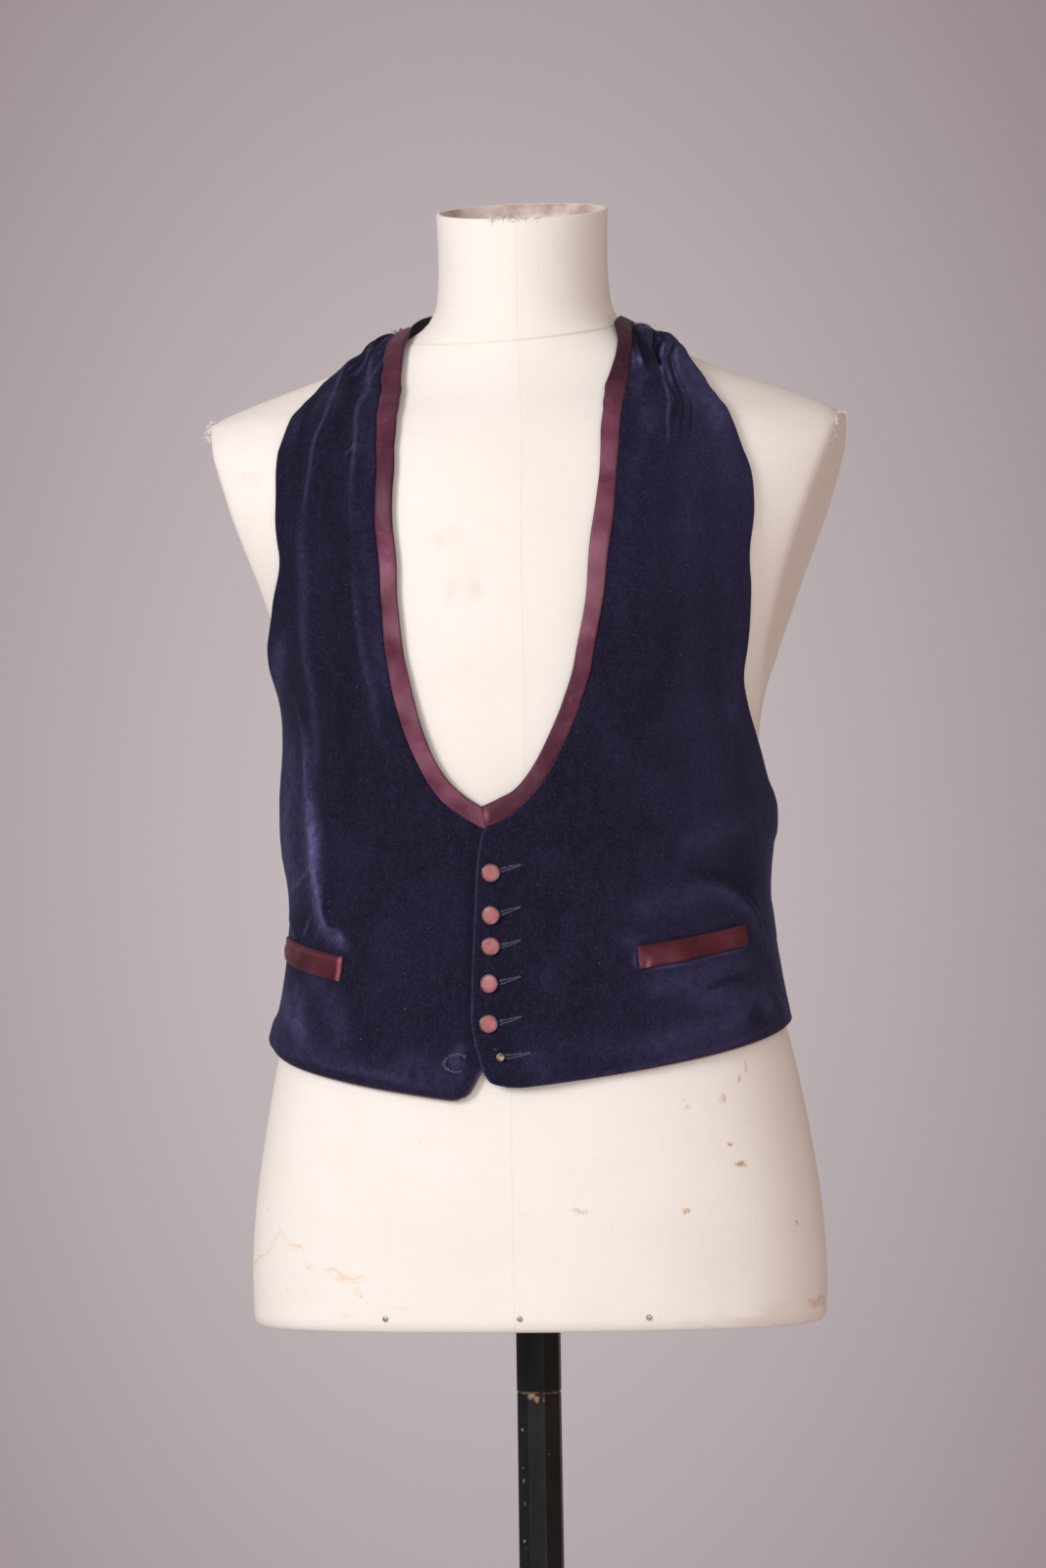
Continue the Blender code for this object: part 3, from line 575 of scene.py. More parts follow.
tide = times(larger(tide, wash), ramp(grain(45.0), 0.35, 0.6, 0.25, 1.0))
tide = times(tide, ramp(plain["X"], -0.112, -0.101, 1.0, 0.0))
tide = larger(tide, times(spot_mask(TIDE_PATCHES, place), ramp(grain(90.0), 0.35, 0.65)))
rust = times(spot_mask(RUST_SPOTS, place), ramp(grain(420.0), 0.3, 0.6))
hands = times(spot_mask(HAND_PATCHES, place), ramp(grain(60.0), 0.25, 0.75))
slub = larger(*(
    ramp(grain(1.0, 2.0, 0.5, stretched(here, scale)), 0.5, 0.8)
    for scale in ((900.0, 900.0, 30.0), (40.0, 40.0, 900.0))
))

# Sewn lines: centre front and back, the foot of the neck, and the two sides
bend = less(ramp(plain["Z"], 1.02, 1.26, 0.0, 0.014), ramp(plain["Z"], 1.40, 1.52, 0.0, 0.009))
centre = sum_of("ABSOLUTE", less(plain["X"], bend))
tilt = plus(times(plain["X"], 0.0586), times(plain["Y"], 0.164))
neck_foot = sum_of("ABSOLUTE", less(less(plain["Z"], tilt), 1.5091))
side = plus(sum_of("ABSOLUTE", less(plain["Y"], 0.008)), ramp(plain["Z"], 1.24, 1.25, 0.0, 1.0))
sewn = sum_of("MINIMUM", sum_of("MINIMUM", centre, neck_foot), side)
thread_line = ramp(sewn, 0.0002, 0.0009, 1.0, 0.0)
allowance = ramp(sewn, 0.001, 0.006, 1.0, 0.0)
# A darker line at the foot of the neck: the seam, with painted shade that grows towards the wearer's left, the
# shaded side
neck_foot_seam_and_shade = times(ramp(neck_foot, 0.0003, 0.0013, 0.55, 0.0), ramp(plain["X"], -0.03, 0.05, 0.25, 1.0))

colour = LINEN
for share, over in (
    (ramp(grain(9.0, 4.0), 0.35, 0.75, 0.0, 0.16), LINEN_DULL),
    (ramp(grain(700.0, 2.0), 0.3, 0.8, 0.0, 0.07), LINEN_DULL),
    (times(slub, 0.10), LINEN_DULL),
    (times(hands, front_side), LINEN_DULL),
    (times(tide, front_side), TIDE),
    (times(rust, front_side), RUST),
    (times(thread_line, 0.20), LINEN_DULL),
    (neck_foot_seam_and_shade, LINEN_DULL),
):
    colour = blend(share, colour, over)
paint_with(colour)
warp, weft = (weave(shaken, 380.0, way) for way in "XZ")
bump(
    (plus(warp, weft), 0.16, 0.12), (slub, 0.25, 0.12), (grain(260.0, 4.0), 0.08, 0.2),
    (allowance, 0.25, 0.5), (thread_line, -0.5, 0.4),
)
print("linen nodes", len(tree.nodes))

# %% [markdown]
# ## The form's linen cover
# The cover follows the outlines, read every 5 mm, with the flat plates where arms would join. It
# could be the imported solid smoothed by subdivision, but the plates' edges and the neck's rim would
# melt. A loft through fine rings keeps them and lets each corner be eased by a few millimetres.

# %% Form cover
RIM_HEIGHT = 1594.5
RIM_SLOPE = 9.3
NECK_WALL = 7.0
RECESS_FLOOR = 1563.0
NECK_FOOT = 1560.0
PLATE_TURNED = 0.04
WIDEST_PLATE_TURN = 78.0
FRONT_COLUMNS = 44
PLATE_COLUMNS = 18


def form_turns(level):
    share = min(plate_at(level) / float(FORM["half_width"](level)), 1.0)
    edge = min(math.degrees(math.asin(share ** (float(FORM["roundness"](level)) / 2))), WIDEST_PLATE_TURN)
    front = np.linspace(0, edge, FRONT_COLUMNS + 1)
    plate = np.linspace(edge, 180 - edge, PLATE_COLUMNS + 1)[1:]
    back = np.linspace(180 - edge, 180, FRONT_COLUMNS + 1)[1:]
    half = np.concatenate([front, plate, back])
    return np.concatenate([half, FULL_TURN - half[-2:0:-1]])


def form_ring(level):
    ring = on_form(form_turns(level), level)
    most = plate_at(level) + PLATE_TURNED * (ring[:, 1] - float(FORM["widest"](level)))
    ring[:, 0] = np.clip(ring[:, 0], -most, most)
    for _ in range(2):
        eased = (np.roll(ring, 1, axis=0) + 2 * ring + np.roll(ring, -1, axis=0)) / 4
        eased[:, 2] = ring[:, 2]
        ring = eased
    return ring


def shrunk(ring, inset, lower=0.0):
    """The ring moved inwards by inset, and down."""
    run = np.roll(ring, -1, axis=0) - np.roll(ring, 1, axis=0)
    outward = unit(np.stack([run[:, 1], -run[:, 0]], axis=-1))
    if (outward * ring[:, :2]).sum() < 0:
        outward = -outward
    moved = ring.copy()
    moved[:, :2] -= outward * inset
    moved[:, 2] -= lower
    return moved


def neck_ring(share):
    turns = form_turns(NECK_FOOT)
    rim = RIM_HEIGHT - RIM_SLOPE * np.cos(np.radians(turns))
    height = NECK_FOOT + (rim - NECK_FOOT) * share
    return on_form(turns, height)


bottom = form_ring(800.0)
rings = [bottom * (share, share, 1) for share in (0.12, 0.5, 0.85)]
rings += [shrunk(bottom, 3.0), shrunk(bottom, 1.2, -0.5), shrunk(bottom, 0.3, -1.8)]
rings += [form_ring(level) for level in np.linspace(804.0, NECK_FOOT, 152)]
rings += [neck_ring(share) for share in (0.25, 0.5, 0.75, 0.93)]
rim = neck_ring(1.0)
rings += [shrunk(rim, 0.1, 1.0), shrunk(rim, 0.6, 0.2), shrunk(rim, 1.4), shrunk(rim, 2.1, 0.4)]
inside_from = len(rings)
rings += [shrunk(rim, 2.6, 1.2), shrunk(rim, 3.6, 4.0), shrunk(rim, 5.4, 9.0), shrunk(rim, NECK_WALL, 14.0)]
wall_top = shrunk(rim, NECK_WALL)
for share in (0.65, 0.95):
    ring = wall_top.copy()
    ring[:, 2] += (RECESS_FLOOR - ring[:, 2]) * share
    rings.append(ring)
recess = wall_top.copy()
recess[:, 2] = RECESS_FLOOR
rings += [shrunk(recess, 0.8), recess * (0.6, 0.6, 1), recess * (0.15, 0.15, 1)]

round_it = len(bottom)
faces = grid_faces(len(rings), round_it, closed=True).tolist()
kinds = [1 if face[0] // round_it >= inside_from - 1 else 0 for face in faces]
faces.append(list(range(round_it))[::-1])
faces.append(list(range((len(rings) - 1) * round_it, len(rings) * round_it)))
kinds += [0, 1]

neck_cloth = finish("neck lining", (0.50, 0.34, 0.30), 0.9)
mottled(55.0, (0.62, 0.53, 0.47), (0.40, 0.29, 0.25), 0.35, 0.65, 4.0)
bump((grain(120.0, 4.0), 0.5, 1.5))

points = np.concatenate(rings)
form_cover = piece_of("form_cover", points, faces, [linen, neck_cloth], kinds)
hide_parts("form_torso")
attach(form_cover, "root")
print("form cover faces", len(form_cover.data.polygons))

# %% [markdown]
# ## Velvet finish
# Velvet is dark where the pile points at the eye and pale blue where a crease or wear lays it over.
# The shader's sheen gives the soft pale edge where the cloth turns away. The base colour is painted
# darker on the wearer's right, where the key light falls, and a painted sheen lightens it towards the
# wearer's left. Creases and worn places come from a value kept on the mesh, which a later step paints
# along lines on the cloth: pale for worn pile and painted highlight, dark for painted shade in the
# hollows. Fine noise breaks it up, and a sparse pattern of cells leaves the white lint.

# %% Velvet finish
MIDNIGHT = (0.0084, 0.0067, 0.0172)
# Darker base colour, painted shade on the side the key light falls on
MIDNIGHT_PAINTED_SHADE = (0.0036, 0.0028, 0.0080)
# Near black, painted shade in the hollows of creases
HOLLOW_PAINTED_SHADE = (0.0022, 0.0016, 0.0040)
# Pale blue of laid-over pile, also used for painted sheen and painted highlight
PALE_PILE_AND_SHEEN = (0.088, 0.082, 0.190)
LINT = (0.30, 0.27, 0.33)
RED_FLECK = (0.26, 0.11, 0.17)

velvet = finish(
    "midnight velvet", MIDNIGHT, 0.95, Specular_IOR_Level=0.06, Sheen_Weight=0.17, Sheen_Roughness=0.36,
    Sheen_Tint=(0.42, 0.40, 0.72, 1),
)
here = coordinates()
across = parts_of(here)["X"]
nap = value_on_mesh("nap")
broken = ramp(grain(150.0, 6.0, 0.75), 0.32, 0.68, 0.35, 1.35)
brushed = stretched(here, (1.0, 1.0, 0.5))
patches = ramp(grain(24.0, 3.0, 0.5, brushed), 0.45, 0.75, 0.0, 0.035)
streaks = ramp(grain(210.0, 5.0, 0.75, brushed), 0.42, 0.72, 0.0, 0.050)
fibres = ramp(grain(620.0, 2.0, 0.6), 0.40, 0.75, 0.0, 0.08)
# Painted sheen: the pile lightened towards the wearer's left, with fine fibres on top
painted_side_sheen_and_fibres = plus(ramp(across, 0.085, 0.15, 0.0, 0.06), fibres)
# Worn pile and painted highlight, where the mesh value is above nought
pale_marks = times(larger(nap, 0.0), broken)
laid = sum_of("ADD", plus(pale_marks, painted_side_sheen_and_fibres), plus(patches, streaks), clamp=True)
pile = grain(1500.0, 2.0, 0.7)
# Painted shade: the base darker towards the wearer's right, where the key light falls
colour = blend(ramp(across, 0.02, 0.17, 0.12, 1.0), MIDNIGHT_PAINTED_SHADE, MIDNIGHT)
colour = blend(laid, colour, PALE_PILE_AND_SHEEN)
# Painted shade in the hollows, where the mesh value is below nought
colour = blend(larger(times(nap, -1.0), 0.0), colour, HOLLOW_PAINTED_SHADE)
colour = blend(ramp(pile, 0.35, 0.75, 0.0, 0.10), colour, PALE_PILE_AND_SHEEN)
for scale, radius, rare, strength, fleck in (
    (120.0, 0.055, 0.90, 0.6, LINT), (430.0, 0.20, 0.82, 0.20, RED_FLECK)
):
    cells = node("ShaderNodeTexVoronoi", {"Vector": here, "Scale": scale, "Randomness": 1.0}).outputs
    chosen = node("ShaderNodeSeparateColor", {"Color": cells["Color"]}).outputs["Red"]
    near = ramp(cells["Distance"], radius * 0.5, radius, strength, 0.0)
    colour = blend(times(near, ramp(chosen, rare, rare + 0.08)), colour, fleck)
paint_with(colour)
bump((pile, 0.35, 0.25), (grain(45.0, 3.0), 0.25, 0.8))

lining = finish("brown cotton lining", (0.16, 0.075, 0.06), 0.85, Specular_IOR_Level=0.2)
mottled(80.0, (0.13, 0.06, 0.05), (0.20, 0.10, 0.08))
bump((weave(coordinates(), 300.0, "DIAGONAL", Distortion=0.6), 0.3, 0.12))

# %% [markdown]
# ## Cutting the fronts
# Each front is read from two lines: its inner line, which is the closing edge below and the satin's
# seam above, and its outer edge round the armhole and down the side. A row of the table joins a
# place on one line to a place on the other. A simulation could hang the cloth, but this waistcoat
# is snug and its few creases come from the gathers at the neck and the pull of the waist strap, so
# they are laid where the photograph shows them.

# %% Edges of the fronts
Row = namedtuple("Row", "seam_turn seam_height edge_turn edge_height")
BoundRow = namedtuple("BoundRow", "seam_turn seam_height edge_turn edge_height inner_turn inner_height")
UPPER_CLOSING = [Row(*row) for row in (
    (-1.2, 970.8, 90, 1013.5), (-3.2, 977, 90.3, 1021), (-5.2, 996, 91, 1037), (-6.8, 1022, 92, 1058),
    (-7.1, 1075, 93.5, 1098), (-6.6, 1120, 96, 1130), (-5.2, 1150, 97, 1150),
)]
UPPER_BOUND = [BoundRow(*row) for row in (
    (-4.2, 1155, 96, 1160, -5, 1169.8), (-1.7, 1158.5, 92, 1170, -1.8, 1174.8),
    (1.9, 1167.4, 85.3, 1187.7, 1.3, 1181.4), (6.9, 1183.9, 80.5, 1206, 4.6, 1194),
    (13.4, 1218.1, 70.5, 1240, 10, 1224), (16.9, 1242.2, 64.8, 1262, 13, 1245),
    (19.7, 1270.9, 61, 1285, 15.8, 1272), (20.5, 1313, 54.5, 1318, 17, 1314),
    (19.9, 1355.9, 47.8, 1356.5, 16.4, 1357), (20.3, 1400, 44.7, 1401, 17.5, 1401),
    (21.4, 1425, 42.7, 1425, 18.3, 1425), (24.2, 1443.8, 44.2, 1443, 21, 1444.5),
    (30.3, 1458.7, 48.5, 1456.5, 26, 1459), (38.2, 1475.3, 57, 1471.5, 33.4, 1475.5),
    (47, 1489, 67, 1483, 41.5, 1489.5), (57.3, 1497.6, 82, 1491, 51, 1499.5),
    (68, 1503, 95, 1495.5, 60.5, 1508), (78, 1506, 106, 1497, 73, 1513),
)]
UNDER_CLOSING = [Row(*row) for row in (
    (-7.3, 962.4, -90, 1003), (-5.6, 974.4, -90.3, 1012), (-4, 986, -90.8, 1024), (-1, 1003, -91.6, 1040),
    (1, 1035, -92.5, 1066), (1, 1090, -94, 1100), (0, 1130, -96, 1130), (-1.8, 1149, -97, 1150),
)]
UNDER_BOUND = [BoundRow(*row) for row in (
    (-3.6, 1152.5, -96, 1158, -3.7, 1165.5), (-6.3, 1156.6, -93, 1168, -5.4, 1170.2),
    (-10.4, 1164.5, -90, 1184, -8.6, 1176.8), (-14.9, 1175.2, -88, 1198, -12.2, 1186.5),
    (-20.6, 1200.4, -86, 1221, -16.3, 1204), (-25, 1230, -84, 1246, -20, 1232),
    (-27.1, 1257.6, -79, 1266, -22, 1259), (-27.3, 1276.8, -71, 1285, -22.8, 1278),
    (-25.5, 1311.8, -58, 1314, -21.8, 1313), (-23.5, 1352, -46.5, 1353, -20, 1353),
    (-22.7, 1400, -43.3, 1400, -19.6, 1401), (-23.9, 1425, -43.3, 1424, -20.6, 1425),
    (-27.2, 1443.8, -45.5, 1442.5, -23.4, 1444.5), (-33.2, 1458.5, -50.5, 1456, -28.8, 1459),
    (-40.2, 1471.3, -60, 1471.5, -35.5, 1473.5), (-49, 1484.5, -70, 1483.5, -43.5, 1488),
    (-60, 1493.5, -85, 1490.5, -53, 1497), (-70, 1498.5, -96, 1494, -63, 1503),
    (-80, 1501.5, -106, 1495.5, -75, 1507),
)]

# %% [markdown]
# ## Folds
# A fold is a path on the form with a rise and a reach: it lifts the cloth most on the path and dies
# away beside it, and a rise below nought sinks a trough. The first two tables are the main folds of
# the solids. The next two add the small tucks of the gathers and the strained creases at the waist.

# %% Folds
Fold = namedtuple("Fold", "turns heights rise reach")
UNDER_FOLDS = [Fold(*row) for row in (
    ((-76, -49.6, -34.3, -33.7, -35.2), (1492, 1469, 1441, 1411, 1382), 3.2, 7),
    ((-35.2, -40.4, -47.3, -54.2), (1395, 1340, 1297, 1255), 2.2, 12),
    ((-70, -46.9, -32, -26.3, -26.7), (1495, 1477, 1450, 1424, 1385), 2.6, 5),
    ((-26.7, -28.4, -30.6, -33.7), (1400, 1365, 1330, 1268), 1.8, 9),
    ((-92, -66, -45.3), (1493, 1485, 1470), -3, 4), ((-86, -60, -39.6), (1496, 1484, 1461), -2.5, 3.5),
    ((-95, -78), (1492, 1498), 5, 16), ((-58.6, -56.3, -53.9, -44.6), (1205, 1152, 1108, 1076), 2.4, 12),
    ((-70, -80, -86, -86, -84), (1325, 1275, 1225, 1160, 1085), 7.5, 34), ((-93, -88), (1015, 985), 6, 24),
    ((-70, -60), (1125, 1065), -1.6, 12),
)]
UPPER_FOLDS = [Fold(*row) for row in (
    ((80, 59.5, 41.2), (1501, 1495, 1471), 2.6, 4.5), ((88, 70, 46.5), (1498, 1490, 1472), 2.8, 4.5),
    ((84, 62, 43, 29.4), (1500, 1492, 1466, 1425), -2.4, 3.5),
    ((50, 36, 29, 28), (1483, 1455, 1425, 1370), 1.8, 8), ((96, 80), (1496, 1501), 1.5, 12),
    ((47.6, 60.6, 71.3, 75.8), (1117, 1112, 1097, 1075), 2.6, 8),
    ((44.6, 55.7, 69.5), (1130, 1124, 1112), -2, 9), ((92, 92), (1185, 1140), 2.5, 20),
    ((86, 80), (1020, 985), 1, 22), ((34, 36, 40), (1330, 1270, 1200), 1.5, 16),
)]
UNDER_CREASES = [Fold(*row) for row in (
    ((-76, -53.7, -45.7, -36.7, -34.8, -35.9), (1493, 1475, 1460, 1441, 1420, 1386), 1.3, 1.7),
    ((-56.4, -47.1, -35.9, -27.8, -26.9, -28.1), (1489, 1476, 1456, 1431, 1419, 1371), 1.3, 1.6),
    ((-80, -61.5, -46.8), (1497.4, 1488.9, 1471.7), -2, 1.5),
    ((-80.5, -64.1, -48.8), (1493.8, 1483, 1467.4), -1.8, 1.4),
    ((-88, -72, -60), (1491, 1480, 1462), -1.2, 1.8), ((-66, -50, -40), (1498, 1486, 1467), 1.3, 1.4),
    ((-27.5, -29.3), (1423.9, 1414.8), 0.9, 1.6),
    ((-36.9, -35.2, -42.7, -52.7, -56.3), (1440, 1409, 1329, 1274, 1227), 0.9, 5),
    ((-31.3, -27, -27.5, -30.3, -33.1, -32), (1452, 1421, 1373, 1327, 1277, 1221), 0.9, 4.5),
    ((-66.1, -60, -56.7, -57.3, -55.2, -45.9, -42.3), (1259, 1200, 1159, 1131, 1108, 1080, 1073), 1.6, 4),
    ((-57.4, -66, -77), (1128.5, 1119.8, 1108.3), 1.2, 2.6), ((-59.9, -64.4), (1094.2, 1077.1), 1.2, 2.4),
    ((-53.4, -55.6), (1088, 1076.6), 0.8, 2), ((-80.4, -69.8), (1092.3, 1076.9), 1.2, 2.6),
    ((-62, -40, -16), (1012, 1000, 984), 0.5, 6),
)]
UPPER_CREASES = [Fold(*row) for row in (
    ((68.4, 53.4, 41.5), (1503.5, 1490.7, 1471.4), -2.1, 1.6),
    ((67.3, 53.7, 46.3, 41.6), (1502.7, 1492.8, 1481.8, 1472), -1.6, 1.7),
    ((90, 57.1, 46.8), (1499.9, 1487.7, 1474.7), -1.6, 1.6),
    ((62, 48, 37.5), (1503, 1490.5, 1470.5), 1.4, 1.7),
    ((80, 56.8, 46.7), (1499.5, 1489.2, 1474.7), -2.1, 1.7),
    ((74, 54, 44), (1501.5, 1490.5, 1475.5), 1.2, 1.4),
    ((84, 56, 44.2, 36.2, 32.7), (1497.6, 1480.4, 1460.7, 1438.6, 1417.9), -1.3, 1.5),
    ((78, 51.4, 40, 31.9), (1499.7, 1480.4, 1460.7, 1438.6), 1.5, 1.6),
    ((92, 70, 52), (1498, 1488, 1468), 1.1, 2.4),
    ((39.5, 40.6, 47.8, 55.9), (1428, 1375, 1322, 1281), 0.7, 7),
    ((49.8, 62.8, 71.2, 76), (1112.6, 1103.2, 1089, 1066.8), 1.9, 4.5),
    ((46.6, 58.8, 72.1, 77.7), (1121.6, 1117.8, 1096.8, 1075.9), -1.5, 4.5),
    ((47.4, 55.7, 64.3), (1039, 1043.9, 1046), -0.8, 2.2), ((67.7, 73.6, 80), (1053, 1036, 1021), 1.1, 5),
    ((49.6, 58.8, 63.8, 66), (1295, 1260, 1225, 1190), 0.7, 7), ((14, 35, 67.7), (990, 1002, 1020), 0.4, 5),
)]


class FoldLine:
    """A soft ridge or trough along a path on the form."""

    def __init__(self, fold, pieces=18):
        stops = np.linspace(0, 1, len(fold.turns))
        along = np.linspace(0, 1, pieces)
        self.points = on_form(SmoothLine(stops, fold.turns)(along), SmoothLine(stops, fold.heights)(along))
        self.rise = fold.rise
        self.reach = fold.reach

    def at(self, points):
        starts = self.points[:-1]
        runs = self.points[1:] - starts
        away_from = points[..., None, :] - starts
        along = np.clip((away_from * runs).sum(-1) / (runs * runs).sum(-1), 0, 1)
        gaps = np.linalg.norm(away_from - runs * along[..., None], axis=-1)
        nearest = gaps.argmin(axis=-1)
        gap = np.take_along_axis(gaps, nearest[..., None], axis=-1)[..., 0]
        share = (nearest + np.take_along_axis(along, nearest[..., None], axis=-1)[..., 0]) / len(starts)
        fade = np.minimum(1.0, np.minimum(4 * share + 0.35, 4 * (1 - share) + 0.35))
        return self.rise * fade * bell(gap, self.reach)


def ease(turn, height):
    side = np.sin(np.radians(turn)) ** 2
    return FORM["ease_front"](height) * (1 - side) + FORM["ease_side"](height) * side


def fade_between(value, full, none):
    t = np.clip((value - full) / (none - full), 0.0, 1.0)
    return 1 - t * t * (3 - 2 * t)


OVERLAP_LIFT = 3.0
LIFT_FULL_TURN = 4.0
LIFT_NO_TURN = 17.0
LIFT_FULL_HEIGHT = 1174.0
LIFT_NO_HEIGHT = 1200.0


def waves(points, long, tall):
    """A slow unevenness of the cloth: waves of this length and height in millimetres."""
    flat = points.reshape(-1, 3) / long
    return tall * np.array([noise.noise(Vector(point)) for point in flat]).reshape(points.shape[:-1])


class Cloth:
    """The lie of one front: the form, its ease, its folds and its creases."""

    def __init__(self, folds, creases, is_upper):
        self.folds = [FoldLine(fold) for fold in (*folds, *creases)]
        self.is_upper = is_upper

    def room(self, turn, height):
        points = on_form(turn, height)
        room = ease(turn, height) + sum(fold.at(points) for fold in self.folds)
        if self.is_upper:
            up = fade_between(height, LIFT_FULL_HEIGHT, LIFT_NO_HEIGHT)
            room = room + OVERLAP_LIFT * fade_between(turn, LIFT_FULL_TURN, LIFT_NO_TURN) * up
        return np.maximum(room, 1.0)

    def point(self, turn, height, out=0.0):
        out = np.asarray(out, float)[..., None]
        return on_form(turn, height) + form_normal(turn, height) * (self.room(turn, height)[..., None] + out)


upper_cloth = Cloth(UPPER_FOLDS, UPPER_CREASES, True)
under_cloth = Cloth(UNDER_FOLDS, UNDER_CREASES, False)
print("folds laid", len(upper_cloth.folds) + len(under_cloth.folds))

# %% [markdown]
# ## Two velvet fronts
# A front is a fine grid over its rows. Near the closing edge, the armhole and the hem the cloth
# turns under, so the grid is closer there and dips towards the form. Velvet and lining are 1.3 mm
# thick together. The value for the pile and its painted light is set in the same pass: strokes along
# creases, pale for worn pile and painted highlight on ridges, dark for painted shade in the troughs,
# and a pale line of painted highlight along every turned edge, the hem's among them.

# %% Velvet fronts
FRONT_ACROSS = 118
ROW_FINE = 1.9
VELVET_OUT = 2.0
CLOTH_THICK = 1.3
EDGE_STEPS = np.array([0.0, 0.45, 1.0, 1.7, 2.6, 3.8])
EDGE_DIP = 1.3
SEAM_GAP = 0.35
LINING_SHOWS = 0.85
# Strokes of the velvet's mesh value: above nought worn pile and painted highlight on ridges, below nought
# painted shade in troughs and beside the closing edge
Stroke = namedtuple("Stroke", "turns heights strength reach")
UNDER_STROKES = [Stroke(*row) for row in (
    ((-76, -55.4, -45.7, -36.9, -35.2, -36.6), (1493, 1473, 1460, 1440, 1409, 1380), 0.27, 2.1),
    ((-58.3, -57.2, -57.7, -54.9, -48.7), (1177, 1145.3, 1120.8, 1096.5, 1078.9), 0.4, 8),
    ((-56.1, -52.2), (1057.7, 1040.6), 0.12, 8),
    ((-28.5, -31.1, -38.1, -43, -43, -43.3), (1407.2, 1352.8, 1298.6, 1242.9, 1187.2, 1148.7), -0.36, 10),
    ((-46.8, -26.8, -23.4), (1478.1, 1438.8, 1391.8), 0.08, 8), ((-33.9, -32.7), (1131.2, 1089.5), -0.16, 9),
    ((-58.4, -80.4), (1293.9, 1252.1), 0.2, 8), ((-77.2, -64.9), (1035.8, 1013.3), 0.12, 8),
    ((-14.3, -12.9), (1127.3, 1068.4), -0.12, 14), ((-48.7, -42.5), (1078.9, 1069.9), 0.2, 4.5),
    ((-23.8, -14.3, -7.2), (998.4, 986.2, 975.1), 0.1, 9),
    ((-77, -56.5, -49.2, -40.7, -38.6, -39.2), (1492, 1473, 1458, 1439, 1418, 1385), -0.35, 2.2),
    ((-56.4, -47.1, -35.9, -28.5, -27, -27), (1489, 1476, 1458, 1431, 1415, 1392), 0.32, 2.1),
    ((-26.9, -27.5, -30.3, -33.1, -32), (1400, 1373, 1327, 1277, 1221), 0.15, 3.4),
    ((-27, -26, -27.5, -29), (1392, 1360, 1300, 1250), 0.07, 8),
    ((-36.6, -42.7, -52.7, -56.3, -55.5), (1380, 1329, 1274, 1227, 1190), 0.15, 4.5),
    ((-30.5, -31.5, -36.5, -43), (1420, 1370, 1300, 1240), -0.35, 8),
    ((-54, -44, -40), (1470, 1450, 1425), 0.1, 9), ((-75, -73, -74, -73), (1225, 1190, 1145, 1103), 0.2, 12),
    ((-66, -64, -62), (1200, 1160, 1110), 0.08, 10),
    ((-57.5, -49.5, -39, -31.5, -30.6), (1487, 1473, 1453, 1429, 1417), -0.35, 2.4),
    ((-80, -61.5, -46.8), (1497.4, 1488.9, 1471.7), -0.95, 1.2),
    ((-80.5, -64.1, -48.8), (1493.8, 1483, 1467.4), -0.9, 1.1),
    ((-80.2, -63, -47.8), (1495.8, 1486, 1469.6), 0.38, 0.9),
    ((-66, -50, -40), (1498, 1486, 1467), 0.24, 1.5), ((-88, -72, -60), (1491, 1480, 1462), -0.5, 1.6),
    ((-27.5, -29.3), (1423.9, 1414.8), 0.3, 1.2),
    ((-56.7, -57.3, -55.2, -51.2, -45.9, -42.3), (1159, 1131, 1108, 1089, 1080, 1073), 0.5, 3.2),
    ((-62, -59.5, -56.7, -56), (1225, 1185, 1159, 1131), 0.36, 5),
    ((-57.4, -66, -77), (1128.5, 1119.8, 1108.3), 0.3, 1.3), ((-59.9, -64.4), (1094.2, 1077.1), 0.34, 1.2),
    ((-53.4, -55.6), (1088, 1076.6), 0.22, 1), ((-80.4, -69.8), (1092.3, 1076.9), 0.34, 1.4),
    ((-74.8, -76.7, -75.4), (1175.6, 1130.5, 1105.9), 0.13, 8),
    ((-49, -50.5, -47), (1120, 1098, 1082), -0.4, 4.5),
    ((-65.4, -60.4, -58.5), (1046.9, 1030.1, 1012.8), 0.18, 8),
    ((-76.8, -61.1, -50.9), (1039.4, 1019.1, 1002.4), 0.2, 9),
    ((-48.7, -41.1, -37.8), (1040.7, 1020, 999.5), 0.12, 9),
    ((-80, -48, -28.3, -12), (1012, 995.7, 984.8, 975.9), 0.1, 8),
    ((-37.4, -32.7, -31), (1145, 1117, 1075), 0.07, 9),
    ((-88, -70, -44.2, -23.3, -10), (1003, 998, 989, 979, 969), 0.1, 3),
    ((-8, -9.5, -7), (982, 994, 1003), 0.2, 4),
    ((-6.8, -7.4, -7.2, -6.6), (1160, 1090, 1040, 1000), -0.5, 3.2),
)]
